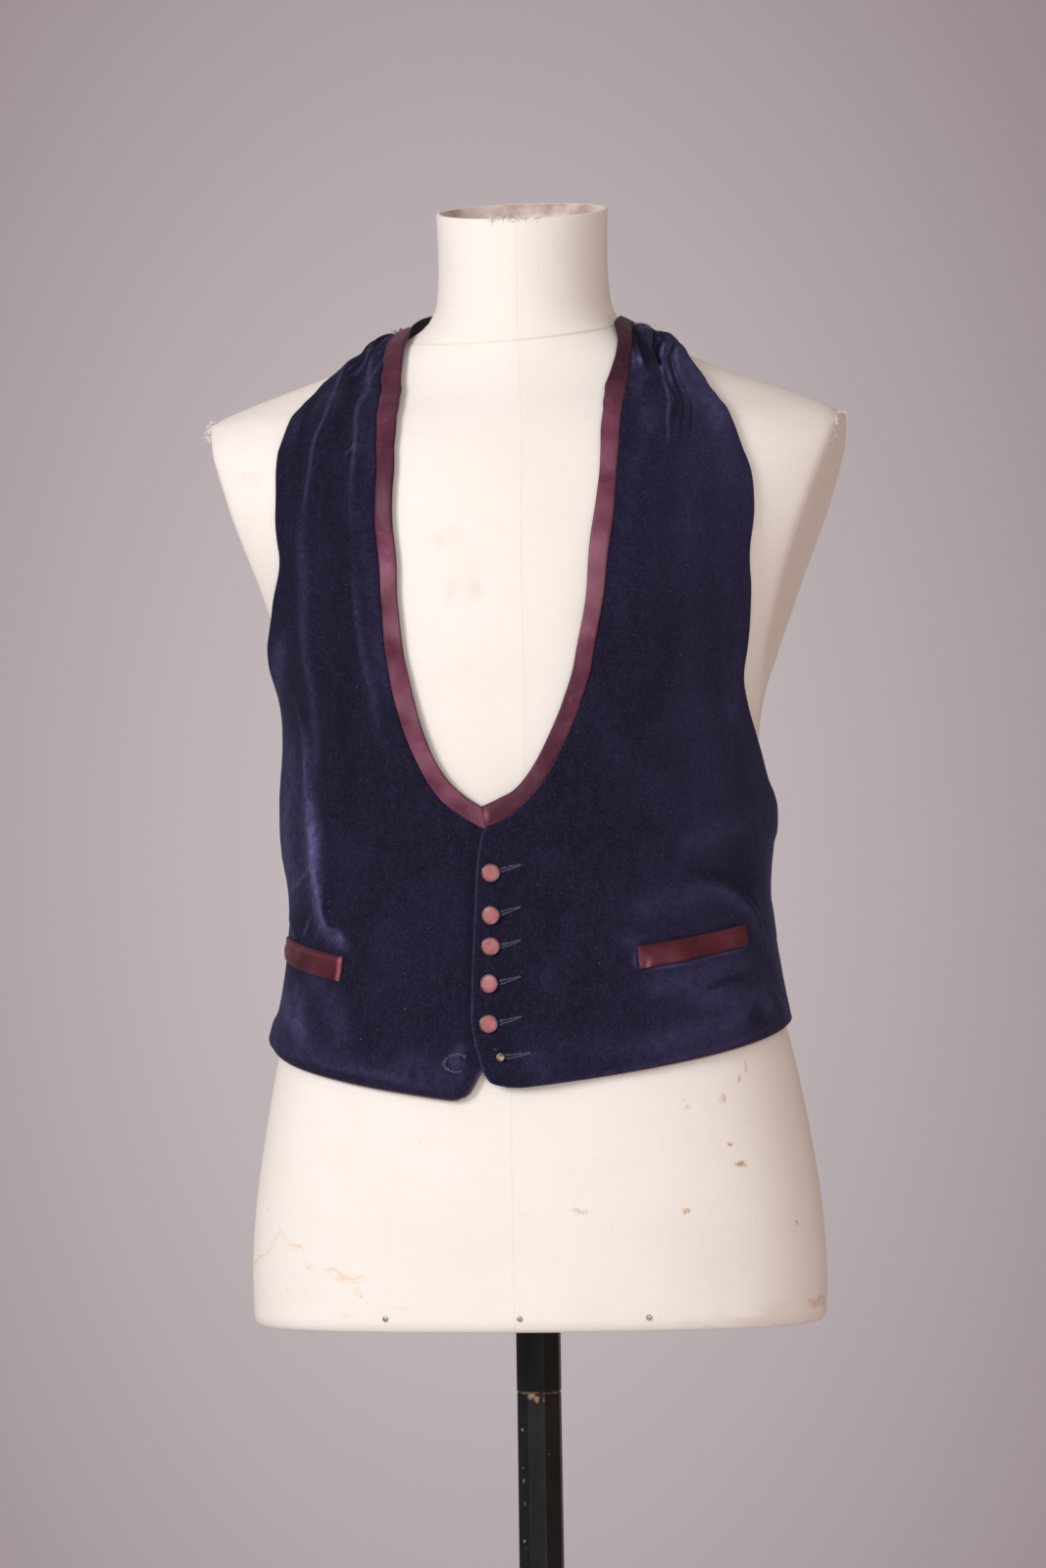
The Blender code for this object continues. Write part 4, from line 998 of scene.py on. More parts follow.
UPPER_STROKES = [Stroke(*row) for row in (
    ((68.4, 53.4, 41.5), (1503.5, 1490.7, 1471.4), -0.95, 1.3),
    ((35.2, 39.1, 45.8, 55.1), (1404.7, 1358.7, 1308.2, 1260), -0.24, 16),
    ((59.7, 75.4), (1123.8, 1109.2), -0.32, 9), ((45, 30.9), (1483.4, 1455), 0.16, 5.5),
    ((64.2, 42.5), (1489.7, 1463.8), 0.4, 5.5), ((33.8, 39.8), (1221.9, 1190.7), -0.32, 14),
    ((7.6, 7.3), (1057.3, 1036.8), 0.06, 10),
    ((67.3, 53.7, 46.3, 41.6), (1502.7, 1492.8, 1481.8, 1472), -0.95, 1.7),
    ((90, 57.1, 46.8), (1499.9, 1487.7, 1474.7), -0.95, 1.5),
    ((51.4, 48.2, 44.6), (1483.7, 1477.8, 1470.3), 0.45, 2), ((14.3, 31.8), (1150.1, 1136.9), -0.2, 14),
    ((30.5, 37.8), (1348.4, 1321.6), -0.18, 12), ((61.3, 65.3), (1022.5, 1013.2), -0.3, 8),
    ((28.9, 23.5), (1449.4, 1401.4), 0.12, 7), ((24.5, 30.2), (1075, 1071.9), 0.14, 6),
    ((2.2, 6.3), (993.9, 978.6), 0.1, 9), ((55.4, 48, 41), (1494.8, 1486.1, 1474.3), 0.32, 3),
    ((69.2, 54.8, 46), (1494.6, 1484.2, 1472.5), 0.55, 1.9), ((56.7, 44.9), (1491.3, 1475.6), -0.55, 2.2),
    ((60, 47, 37.5), (1502.5, 1489.5, 1471.5), 0.26, 1.8),
    ((80, 56.8, 46.7), (1499.5, 1489.2, 1474.7), -0.95, 1.4), ((74, 54, 44), (1501, 1489.5, 1474), 0.22, 1.2),
    ((84, 53.6, 42.2, 34.2, 30.7), (1497.6, 1479.9, 1460.2, 1438.6, 1417.9), -0.75, 1.1),
    ((78, 50.4, 39.4, 31.5, 29), (1499.7, 1480, 1460, 1438.6, 1418), 0.36, 1),
    ((44.3, 42.3), (1481, 1477), 0.75, 2.4), ((50, 47.2), (1484, 1479), -0.7, 2.8),
    ((36.2, 35), (1461, 1455.8), -0.4, 3),
    ((70.4, 55.4, 45.6, 41.1), (1491.1, 1472.8, 1454.2, 1434.2), 0.17, 8),
    ((53.5, 42, 39.5), (1480.6, 1454.4, 1427.7), 0.16, 8), ((60, 52, 46), (1478, 1455, 1430), 0.07, 12),
    ((22.3, 22.8, 25), (1408.2, 1348.4, 1294.4), 0.05, 7),
    ((38.9, 48.2, 52, 54), (1308.1, 1252.8, 1210.9, 1160), 0.04, 14),
    ((27, 31, 36, 31), (1420, 1348.4, 1267, 1204.9), -0.28, 11),
    ((24, 30, 36), (1200, 1160, 1140), -0.22, 14),
    ((47.8, 64, 74, 76.2), (1321.9, 1253, 1196.7, 1140.4), 0.06, 13),
    ((39.5, 40.6, 47.8, 55.9), (1428, 1375, 1322, 1281), 0.08, 9),
    ((49.8, 62.8, 71.2, 75), (1111.6, 1101.2, 1087, 1064.8), 0.2, 5.5),
    ((46.6, 58.8, 72.1, 77.7), (1120.6, 1116.8, 1095.8, 1074.9), -0.62, 5),
    ((41.7, 58.7, 72.5), (1137.1, 1150.2, 1156.7), 0.1, 9),
    ((27.1, 41.2, 51.2), (1094.4, 1102.1, 1106.4), 0.1, 10),
    ((47.4, 55.7, 64.3), (1039, 1043.9, 1046), -0.35, 2), ((28, 45, 66), (1040, 1048, 1058), 0.14, 8),
    ((40.6, 52.6, 68.8), (1038.1, 1030.2, 1025.4), 0.17, 10),
    ((22.9, 38.2, 58.4, 72), (994.7, 1005.2, 1015.8, 1022), 0.15, 9),
    ((6, 14, 22), (1000, 1000, 1000), 0.06, 12), ((8, 35.2, 67.7, 84), (975.5, 990.5, 1008, 1017), 0.1, 2.6),
    ((29.6, 47, 66.8), (1051.8, 1059, 1067.3), 0.38, 0.8), ((27.6, 27.8), (1067, 1054), 0.34, 1),
    ((29, 47, 66), (1071, 1077.3, 1084.5), -0.55, 0.9), ((49.6, 58.8, 63.8), (1295, 1260, 1225), 0.1, 9),
    ((8.5, 17.9, 27.9), (1130, 1143, 1150), 0.06, 12), ((68.9, 72.2), (1042.9, 1021.6), 0.14, 7),
    ((-0.5, -1, -0.5), (1118, 1060, 1005), -0.22, 5),
)]


def stations(rows):
    """Places of the rows along a front, by how far its two edges move between them."""
    seams = np.array([on_form(row.seam_turn, row.seam_height) for row in rows])
    edges = np.array([on_form(row.edge_turn, row.edge_height) for row in rows])
    moved = np.linalg.norm(np.diff(seams, axis=0), axis=1) + np.linalg.norm(np.diff(edges, axis=0), axis=1)
    return np.concatenate([[0.0], np.cumsum(moved / 2)])


def read_rows(rows, spacing, first, last, extra=()):
    """Start and end places of fine rows, as turns and heights, and each row's way along."""
    places = stations(rows)
    at = np.linspace(places[0], places[-1], round(places[-1] / spacing) + 1)
    at = np.unique(np.concatenate([at, places[0] + np.asarray(extra), places[-1] - np.asarray(extra)]))
    fields = {}
    for name in (first, last):
        for part in ("_turn", "_height"):
            fields[name + part] = SmoothLine(places, [getattr(row, name + part) for row in rows])(at)
    start = np.stack([fields[first + "_turn"], fields[first + "_height"]], axis=-1)
    end = np.stack([fields[last + "_turn"], fields[last + "_height"]], axis=-1)
    return start, end, at - places[0]


def turned_edge(gap, reach=3.2):
    """How far the cloth has turned under, from 1 at the edge to 0 beyond its reach."""
    t = np.clip(1 - gap / reach, 0, 1)
    return t ** 2.2


def rounded_corner(along, gap, radius):
    """Moves places near the corner, where along and gap are both nought, onto a rounded one."""
    from_end = np.clip(radius - along, 0, None)
    from_side = np.clip(radius - gap, 0, None)
    far = np.maximum(from_end, from_side) / (np.hypot(from_end, from_side) + 1e-9)
    inside = (from_end > 0) & (from_side > 0)
    return np.where(inside, radius - from_end * far, along), np.where(inside, radius - from_side * far, gap)


def make_front(name, closing, bound, cloth, strokes, seam_gap, closing_corner, side_corner):
    rows = [*closing, *(Row(*row[:4]) for row in bound)]
    start, end, along = read_rows(rows, ROW_FINE, "seam", "edge", EDGE_STEPS[1:])
    width = np.linalg.norm(on_form(*end.T) - on_form(*start.T), axis=-1)
    inner = EDGE_STEPS + seam_gap
    middle = np.linspace(0, 1, FRONT_ACROSS)[1:-1]
    low, high = inner[-1], width[:, None] - EDGE_STEPS[-1]
    span = low + (high - low) * middle
    gaps = np.concatenate([
        np.broadcast_to(inner, (len(width), len(inner))), span, width[:, None] - EDGE_STEPS[::-1]
    ], axis=1)
    from_hem = along[:, None] * np.ones_like(gaps)
    at, beside = rounded_corner(from_hem, gaps - seam_gap, closing_corner)
    at, beside = rounded_corner(at, width[:, None] - seam_gap - beside, side_corner)
    beside = width[:, None] - beside
    first = [np.interp(at, along, column) for column in start.T]
    last = [np.interp(at, along, column) for column in end.T]
    share = beside / np.interp(at, along, width)
    turn, height = (first[i] + (last[i] - first[i]) * share for i in (0, 1))
    from_top = along[-1] - from_hem
    dip = np.maximum(turned_edge(width[:, None] - gaps), turned_edge(gaps - seam_gap, 2.4))
    dip = np.maximum(dip, np.maximum(turned_edge(from_hem), turned_edge(from_top, 2.0)))
    lie = on_form(turn, height)
    slow = waves(lie, 26.0, 0.45) + waves(lie + 300, 9.0, 0.12)
    outer = cloth.point(turn, height, VELVET_OUT - EDGE_DIP * dip + slow * (1 - dip))
    normal = form_normal(turn, height)
    inside = outer - normal * (CLOTH_THICK * (1 - 0.45 * dip))[..., None]
    inside[0] += unit(outer[0] - outer[2]) * LINING_SHOWS
    inside[:, -1] += unit(outer[:, -1] - outer[:, -3]) * LINING_SHOWS
    if not cloth.is_upper:
        low = along < 60
        inside[low, 0] += unit(outer[low, 0] - outer[low, 2]) * LINING_SHOWS * 1.4
    made = closed_wall(name, outer, inside, [velvet, lining])
    lines = [FoldLine(Fold(*stroke)) for stroke in strokes]
    # Pale strokes are worn pile and painted highlight; dark strokes are painted shade
    pale = sum(line.at(lie) for line in lines if line.rise > 0)
    crease_shade = np.min([line.at(lie) for line in lines if line.rise < 0], axis=0)
    nap = pale * (1 + np.clip(crease_shade, -1, 0)) + crease_shade
    # Painted highlight: pale lines along the closing edge, the armhole, the side and the hem
    closing_edge = turned_edge(gaps - seam_gap, 1.8) * fade_between(height, 1160.0, 1180.0)
    edges = np.maximum(turned_edge(width[:, None] - gaps, 4.0), turned_edge(from_hem, 4.0))
    nap = np.clip(nap + 0.16 * edges + 0.42 * closing_edge, -1, 1)
    attribute = made.data.attributes.new("nap", "FLOAT", "POINT")
    attribute.data.foreach_set("value", np.concatenate([nap.ravel(), nap.ravel()]).astype(np.float32))
    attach(made, "root")
    print(name, "area", round(area_of(made), 4), "width", round(width.max()), "length", round(along[-1]))
    return made


left_velvet = make_front(
    "velvet_left_front", UPPER_CLOSING, UPPER_BOUND, upper_cloth, UPPER_STROKES, SEAM_GAP, 8.0, 3.0
)
right_velvet = make_front(
    "velvet_right_front", UNDER_CLOSING, UNDER_BOUND, under_cloth, UNDER_STROKES, SEAM_GAP, 7.0, 6.0
)
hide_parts("left_front")
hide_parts("right_front")

# %% [markdown]
# ## Satin binding
# The binding is a doubled strip of plum satin about 16 mm wide, sewn along the velvet and turned over
# the neckline. It rises gently between its edges, sinks at the seam, and puckers a little where it
# rounds the curve. Satin shines along its threads, so its finish is smooth with a slight stretch of
# the highlight across the strip, and its colour drifts as it does on old silk. Two values kept on the
# mesh paint light and shade over that: painted highlight and painted shade that change along the
# strip, and painted glints, pale lines and dark lines along its seam, edges and tips.

# %% Satin finish
PLUM = (0.112, 0.030, 0.054)
PLUM_DEEP = (0.062, 0.014, 0.026)
PLUM_PALE = (0.22, 0.075, 0.115)
# Painted highlight on folds, seams and glints
PLUM_PAINTED_HIGHLIGHT = (0.42, 0.12, 0.16)
# Painted shade along edges and in hollows
PLUM_PAINTED_SHADE = (0.012, 0.005, 0.007)
# Greyed pink of a painted reflection where the shine is strong
SHINE_GREY = (0.20, 0.105, 0.125)


def make_satin(name, deep, middle, pale, rough):
    made = finish(
        name, middle, rough, Specular_IOR_Level=0.30, Specular_Tint=(0.85, 0.42, 0.55, 1), Anisotropic=0.3,
    )
    threads = noise_at(stretched(coordinates("UV"), (900.0, 60.0, 1.0)), 1.0, 2.0).outputs["Fac"]
    shine, painted_highlight_and_shade = value_on_mesh("shine"), value_on_mesh("painted_highlight_and_shade")
    colour = blend(ramp(grain(30.0), 0.3, 0.7), deep, middle)
    colour = blend(ramp(grain(90.0, 2.0), 0.55, 0.8, 0.0, 0.35), colour, pale)
    colour = blend(ramp(threads, 0.4, 0.8, 0.0, 0.12), colour, pale)
    # Painted highlight and painted shade: the colour times the shine value, greyed where it is high
    colour = blend(1.0, colour, shine, "MULTIPLY")
    colour = blend(ramp(shine, 0.95, 1.7, 0.0, 0.5), colour, SHINE_GREY)
    # Painted highlight above nought and painted shade below it, from the second mesh value
    colour = blend(larger(painted_highlight_and_shade, 0.0), colour, PLUM_PAINTED_HIGHLIGHT)
    paint_with(blend(larger(times(painted_highlight_and_shade, -1.0), 0.0), colour, PLUM_PAINTED_SHADE))
    bump((threads, 0.10, 0.08), (grain(160.0), 0.16, 0.35))
    return made


satin = make_satin("plum satin", PLUM_DEEP, PLUM, PLUM_PALE, 0.40)


def mark(piece, name, values, inside=0.0):
    """Keeps a value for each point of a wall's outer side, and times inside for its inner side."""
    attribute = piece.data.attributes.new(name, "FLOAT", "POINT")
    both = np.concatenate([values.ravel(), inside * values.ravel()])
    attribute.data.foreach_set("value", both.astype(np.float32))


# %% Bindings
BINDING_OUT = 2.5
BINDING_BOW = 0.55
BINDING_ACROSS = 19
BINDING_THICK = 1.5


def make_binding(name, bound, cloth, seed, tip, shine):
    """The tip is a painted glint's strength, place and share across, and how much painted shade darkens the
    upper end.
    """
    start, end, along = read_rows(bound, 1.6, "seam", "inner")
    share = (1 - np.cos(np.pi * np.linspace(0, 1, BINDING_ACROSS))) / 2
    places = start[:, None, :] + (end - start)[:, None, :] * share[:, None]
    turn, height = places[..., 0], places[..., 1]
    lie = on_form(turn, height)
    crown = 4 * share * (1 - share)
    edge = np.minimum(share, 1 - share)
    dip = np.clip(1 - edge / 0.10, 0, 1) ** 2
    ends = np.clip(1 - np.minimum(along, along[-1] - along) / 3.0, 0, 1)[:, None] ** 2
    pucker = waves(lie + seed, 5.5, 0.30) * (0.35 + 0.9 * (1 - share)) + waves(lie + seed, 21.0, 0.30)
    out = BINDING_OUT - 0.95 * dip - 0.7 * ends + BINDING_BOW * crown * (1 - ends) + pucker * (1 - dip)
    outer = cloth.point(turn, height, out)
    inside = outer - form_normal(turn, height) * (BINDING_THICK * (1 - 0.4 * dip))[..., None]
    made = closed_wall(name, outer, inside, [satin, lining], 0)
    # Painted highlight along the seam, painted shade along the inner edge
    seam_highlight = bell(share - 0.045, 0.03) * 0.30
    inner_edge_shade = -0.45 * np.clip((share - 0.93) / 0.07, 0, 1)
    glint, glint_place, glint_share, dark = tip
    from_tip = along if glint_place < 0 else along[-1] - along
    # A painted glint near one tip, and painted shade on the upper end
    tip_glint_and_shade = glint * bell(from_tip[:, None] - abs(glint_place), 2.2) * bell(share - glint_share, 0.3)
    tip_glint_and_shade = tip_glint_and_shade - dark * fade_between(along[-1] - along, 15.0, 75.0)[:, None]
    mark(made, "painted_highlight_and_shade", seam_highlight * (0.6 + waves(lie + seed, 14.0, 0.5)) + inner_edge_shade + tip_glint_and_shade)
    # Painted highlight and painted shade along the strip, by height from the table
    glow = SmoothLine(*zip(*shine))(height) * (1 + waves(lie + seed, 17.0, 0.35))
    mark(made, "shine", glow, 1.0)
    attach(made, "root")
    print(name, "area", round(area_of(made), 5), "length", round(along[-1]))
    return made


# Painted light along each binding by height: above 1 lighter, below 1 darker
LEFT_SHINE = (
    (1150, 0.42), (1180, 0.42), (1200, 0.50), (1220, 0.62), (1241, 0.85), (1262, 0.95), (1283, 1.1),
    (1304, 1.6), (1325, 1.75), (1346, 1.5), (1367, 1.05), (1388, 1.05), (1409, 1.3), (1430, 1.15),
    (1451, 0.68), (1472, 0.45), (1510, 0.5),
)
RIGHT_SHINE = (
    (1150, 1.15), (1178, 1.15), (1199, 1.25), (1220, 1.15), (1241, 1.45), (1262, 1.35), (1283, 1.15),
    (1304, 1.4), (1325, 1.45), (1346, 1.1), (1367, 0.85), (1388, 0.52), (1409, 0.62), (1430, 0.7),
    (1451, 0.62), (1472, 0.62), (1510, 0.7),
)
left_tip, right_tip = (0.55, -2.2, 0.5, 0.5), (0.95, 4.0, 0.75, 0.1)
left_binding = make_binding("satin_left_binding", UPPER_BOUND, upper_cloth, 11.0, left_tip, LEFT_SHINE)
right_binding = make_binding("satin_right_binding", UNDER_BOUND, under_cloth, 57.0, right_tip, RIGHT_SHINE)
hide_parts("left_binding")
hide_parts("right_binding")

# %% [markdown]
# ## Pocket welts
# Each pocket is a single satin welt, a narrow band set into the velvet and slightly slanted. Its
# ends are caught down, so the satin pulls into a small pucker there, given a painted highlight. A
# dark painted shadow line runs along its top edge and ends, and the upper welt is painted lighter
# than the under one. The velvet lies a little higher round it, which the dipped edges of the band
# suggest.

# %% Welts
Welt = namedtuple("Welt", "name inner_turn inner_top inner_bottom outer_turn outer_top outer_bottom")
WELTS = (
    Welt("left_welt", 28.6, 1069.4, 1053.4, 65.8, 1082.8, 1068.6),
    Welt("right_welt", -42.2, 1063.9, 1046.3, -79.0, 1077.4, 1061.0),
)
WELT_OUT = 3.9
WELT_THICK = 1.2

WINE_DEEP = (0.040, 0.008, 0.012)
WINE = (0.078, 0.014, 0.022)
WINE_PALE = (0.15, 0.036, 0.055)

welt_satin = make_satin("wine satin", WINE_DEEP, WINE, WINE_PALE, 0.38)


def make_welt(welt, cloth, seed):
    along = np.linspace(0, 1, 84)[:, None]
    across = ((1 - np.cos(np.pi * np.linspace(0, 1, 19))) / 2)[None, :]
    turn = welt.inner_turn + (welt.outer_turn - welt.inner_turn) * along + 0 * across
    top = welt.inner_top + (welt.outer_top - welt.inner_top) * along
    low = welt.inner_bottom + (welt.outer_bottom - welt.inner_bottom) * along
    height = low + (top - low) * across
    long = np.linalg.norm(on_form(turn[-1, 0], height[-1, 0]) - on_form(turn[0, 0], height[0, 0]))
    lie = on_form(turn, height)
    from_end = np.minimum(along, 1 - along) * long
    dip = np.clip(1 - np.minimum(np.minimum(across, 1 - across) / 0.12, from_end / 1.6), 0, 1) ** 2
    pull = bell(from_end, 7.0) * np.sin(across * 9.0 + along * 30.0) * 0.38
    uneven = pull + waves(lie + seed, 9.0, 0.18)
    out = WELT_OUT + across * (1 - across) - 0.9 * dip + uneven * (1 - dip)
    outer = cloth.point(turn, height, out)
    inside = outer - form_normal(turn, height) * (WELT_THICK * (1 - 0.4 * dip))[..., None]
    made = closed_wall("satin_" + welt.name, outer, inside, [welt_satin, lining], 0)
    from_inner = along * long
    # Painted highlight on the pucker near the inner end
    if cloth.is_upper:
        pucker_highlight = 0.75 * bell(from_inner - 5.0 - 3.0 * across, 1.5) * np.clip(1 - across * 2.2, 0, 1)
    else:
        pucker_highlight = 0.55 * bell(from_inner - 2.0, 1.3) + 0.16 * bell(across - 0.80, 0.03)
    # A painted shadow line along the top edge and at the ends
    top_edge_shade = -0.5 * np.clip((across - 0.93) / 0.07, 0, 1) - 0.35 * np.clip(1 - from_end / 1.0, 0, 1)
    mark(made, "painted_highlight_and_shade", pucker_highlight + top_edge_shade)
    # Painted light: the upper welt lighter, the under welt darker
    mark(made, "shine", (1.06 if cloth.is_upper else 0.84) + waves(lie + seed, 16.0, 0.3), 1.0)
    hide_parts(welt.name)
    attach(made, "root")
    return made


welts = [make_welt(WELTS[0], upper_cloth, 5.0), make_welt(WELTS[1], under_cloth, 31.0)]
print("welt areas", [round(area_of(welt), 5) for welt in welts])

# %% [markdown]
# ## Covered buttons
# Each button is a shell covered in faded rose satin and held in a darker rim. It is made once from a
# cylinder: the top face is inset for the rim, sunk, then inset again and raised for the cushion of
# the satin. Small stepped insets round the rim. Copies are turned to face out of the cloth.

# %% Button finishes
rose = finish("rose satin", (0.27, 0.08, 0.085), 0.36, Specular_IOR_Level=0.35)
mottled(260.0, (0.235, 0.066, 0.072), (0.33, 0.100, 0.105))
bump((grain(1400.0, 2.0), 0.25, 0.12), (grain(240.0, 2.0), 0.2, 0.3))
rim_finish = finish("burgundy button rim", (0.06, 0.012, 0.016), 0.22, Specular_IOR_Level=0.8)
mottled(500.0, (0.04, 0.008, 0.011), (0.09, 0.020, 0.025))
bump((grain(900.0, 2.0), 0.3, 0.15))

# %% One button and its copies
BUTTON_TURN = -3.1
BUTTON_HEIGHTS = (1123.1, 1093.1, 1070.9, 1044.8, 1016.7)
BUTTON_RADIUS = 6.5
BUTTON_DEEP = 2.0


def face_out(turn, height, cloth, out):
    """A matrix that puts a piece made at the origin, +Z up, on the cloth and facing outwards."""
    place = cloth.point(turn, height, out) * MM
    normal = Vector(form_normal(turn, height))
    right = Vector((0, 0, 1)).cross(normal).normalized()
    turned = Matrix((right, normal.cross(right), normal)).transposed().to_4x4()
    return Matrix.Translation(Vector(place)) @ turned


def copy_of(piece, name, matrix):
    made = piece.copy()
    made.data = piece.data.copy()
    made.name = made.data.name = name
    made.data.transform(matrix)
    bpy.context.scene.collection.objects.link(made)
    return made


def top_faces_only(piece, above):
    """In edit mode, selects the faces that look up and lie higher than this, in millimetres."""
    bpy.ops.mesh.select_all(action="DESELECT")
    bpy.ops.object.mode_set(mode="OBJECT")
    for face in piece.data.polygons:
        face.select = face.normal.z > 0.9 and face.center.z > above * MM and len(face.vertices) > 4
    bpy.ops.object.mode_set(mode="EDIT")


bpy.ops.object.select_all(action="DESELECT")
bpy.ops.mesh.primitive_cylinder_add(
    vertices=64, radius=BUTTON_RADIUS * MM, depth=BUTTON_DEEP * MM, location=(0, 0, BUTTON_DEEP / 2 * MM)
)
bpy.ops.object.transform_apply(location=True)
button = bpy.context.object
button.name = "button_pattern"
button.data.materials.append(rim_finish)
button.data.materials.append(rose)
bpy.ops.object.mode_set(mode="EDIT")
bpy.ops.mesh.select_mode(type="FACE")
top_faces_only(button, 1.0)
for thickness, rise in ((0.15, 0.17), (0.30, 0.09), (0.30, -0.05), (0.18, -0.26)):
    bpy.ops.mesh.inset(thickness=thickness * MM, depth=rise * MM)
bpy.ops.object.mode_set(mode="OBJECT")
for face in button.data.polygons:
    if face.select:
        face.material_index = 1
bpy.ops.object.mode_set(mode="EDIT")
for thickness, rise in ((0.5, 0.22), (1.1, 0.10), (1.6, 0.05), (1.3, 0.01)):
    bpy.ops.mesh.inset(thickness=thickness * MM, depth=rise * MM)
bpy.ops.object.mode_set(mode="OBJECT")
take(button)
bpy.ops.object.shade_smooth_by_angle(angle=math.radians(62))
for number, height in enumerate(BUTTON_HEIGHTS, 1):
    lean = Matrix.Rotation(math.radians((7, -5, 3, -9, 6)[number - 1]), 4, "Y")
    turned = face_out(BUTTON_TURN, height, upper_cloth, 2.55) @ lean
    made = copy_of(button, f"covered_button_{number}", turned)
    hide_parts(f"button_{number}")
    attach(made, "root")
bpy.data.objects.remove(button)
print("buttons", len(BUTTON_HEIGHTS))

# %% [markdown]
# ## Buttonholes and the lost button
# Each buttonhole is worked by hand in a dusky thread: close stitches along both lips of a short slit.
# One stitch is a bent tube with few faces, copied along the lips. Below the fifth button a sixth is
# lost, and only its brass shank is left, with loose thread round it.

# %% Stitched buttonholes
HOLES = (
    ((-1.1, 1124.8), (2.3, 1128.3)), ((-1.2, 1094.4), (2.1, 1098.7)), ((-1.2, 1070.7), (2.0, 1074.9)),
    ((-1.3, 1045.3), (1.8, 1049.4)), ((-1.2, 1017.2), (1.8, 1021.4)), ((-0.4, 993.4), (3.3, 996.0)),
)
STITCH_ROOM = 0.62
dusky = finish("dusky thread", (0.050, 0.042, 0.095), 0.75, Sheen_Weight=0.3)
mottled(900.0, (0.035, 0.030, 0.070), (0.085, 0.075, 0.145))
bump((grain(2500.0), 0.3, 0.1))


def tube(path, thick, sides=5, taper=True):
    """Points and faces of a thin round thread along a path, closed at both ends."""
    path = np.asarray(path, float)
    run = np.gradient(path, axis=0)
    run /= np.linalg.norm(run, axis=1, keepdims=True) + 1e-9
    helper = np.where(np.abs(run[:, 2:3]) < 0.9, (0.0, 0.0, 1.0), (1.0, 0.0, 0.0))
    side = unit(np.cross(run, helper))
    other = np.cross(side, run)
    angles = np.radians(np.arange(sides) * FULL_TURN / sides)[None, :, None]
    width = np.full(len(path), thick)
    if taper:
        width[-1] *= 0.4
    ring = np.cos(angles) * side[:, None, :] + np.sin(angles) * other[:, None, :]
    points = (path[:, None, :] + ring * width[:, None, None]).reshape(-1, 3)
    faces = grid_faces(len(path), sides, closed=True)[:, ::-1].tolist()
    faces.append(list(range(sides)))
    faces.append(list(range((len(path) - 1) * sides, len(path) * sides))[::-1])
    return points, faces


def threads_piece(name, paths, thick, material, sides=4):
    """Many threads in one mesh."""
    points, faces = [], []
    for path in paths:
        some, its_faces = tube(path, thick, sides)
        base = sum(len(p) for p in points)
        faces += [[i + base for i in face] for face in its_faces]
        points.append(some)
    mesh = bpy.data.meshes.new(name)
    mesh.from_pydata((np.concatenate(points) * MM).tolist(), [], faces)
    mesh.materials.append(material)
    mesh.shade_smooth()
    made = bpy.data.objects.new(name, mesh)
    bpy.context.scene.collection.objects.link(made)
    edit_all(made, FACES_OUT)
    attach(made, "root")
    return made


def on_velvet(cloth, turn, height, lift):
    return cloth.point(turn, height, VELVET_OUT + lift)


hole_paths = []
maker = random.Random(4)
for start, end in HOLES:
    start, end = np.array(start), np.array(end)
    long = np.linalg.norm(on_form(*end) - on_form(*start))
    run = (end - start) / long
    up = np.array([-run[1] * 0.12, 1.0])
    for lip in (-1, 1):
        lip_line = []
        for step in np.arange(0, long, STITCH_ROOM):
            narrow = 1.0 - 0.75 * step / long
            foot = start + run * (step + maker.uniform(-0.2, 0.2)) + up * lip * narrow * 0.9
            lip_line.append(on_velvet(upper_cloth, *(foot + up * maker.uniform(-0.15, 0.15)), 0.5))
            if maker.random() < 0.25:
                continue
            reach = (1.5 if lip > 0 else 1.0) * narrow + maker.uniform(-0.3, 0.5)
            lean = run * maker.uniform(-0.35, 0.35)
            stops = ((0.0, 0.45), (0.5, 0.6), (1.0, 0.15))
            hole_paths.append([
                on_velvet(upper_cloth, *(foot + (up * lip * reach + lean) * a), b) for a, b in stops
            ])
        lip_line.append(on_velvet(upper_cloth, *(end + run * maker.uniform(0.5, 1.6)), 0.2))
        hole_paths.append(lip_line)
        hole_paths.append([point + np.array([0.1, -0.15, lip * 0.28]) for point in lip_line])
    loops = np.linspace(0, 2 * math.pi, 9)
    for _ in range(3):
        eye = start + run * 0.4
        hole_paths.append([
            on_velvet(
                upper_cloth, *(eye + run * 1.1 * math.cos(a) + up * 1.2 * math.sin(a)),
                0.4 + maker.uniform(0, 0.2),
            )
            for a in loops
        ])
buttonholes = threads_piece("worked_buttonholes", hole_paths, 0.15, dusky)
print("buttonhole stitches", len(hole_paths))

# %% Brass shank of the lost button
SHANK_PLACE = (-1.0, 993.3)
brass = finish("dull brass", (0.28, 0.24, 0.15), 0.42, 1.0)
mottled(700.0, (0.10, 0.085, 0.055), (0.34, 0.29, 0.18))
bump((grain(1200.0), 0.3, 0.1))

bpy.ops.object.select_all(action="DESELECT")
bpy.ops.mesh.primitive_cylinder_add(vertices=40, radius=3.0 * MM, depth=2.0 * MM, location=(0, 0, 1.0 * MM))
bpy.ops.object.transform_apply(location=True)
shank = bpy.context.object
shank.name = "lost_button_shank"
shank.data.materials.append(brass)
bpy.ops.object.mode_set(mode="EDIT")
bpy.ops.mesh.select_mode(type="FACE")
top_faces_only(shank, 1.0)
for thickness, rise in ((0.35, 0.30), (0.45, 0.10), (0.35, -0.30), (0.15, -1.3)):
    bpy.ops.mesh.inset(thickness=thickness * MM, depth=rise * MM)
bpy.ops.object.mode_set(mode="OBJECT")
take(shank)
soft = shank.modifiers.new("turned edge", "BEVEL")
soft.width = 0.18 * MM
soft.segments = 2
bpy.ops.object.modifier_apply(modifier=soft.name)
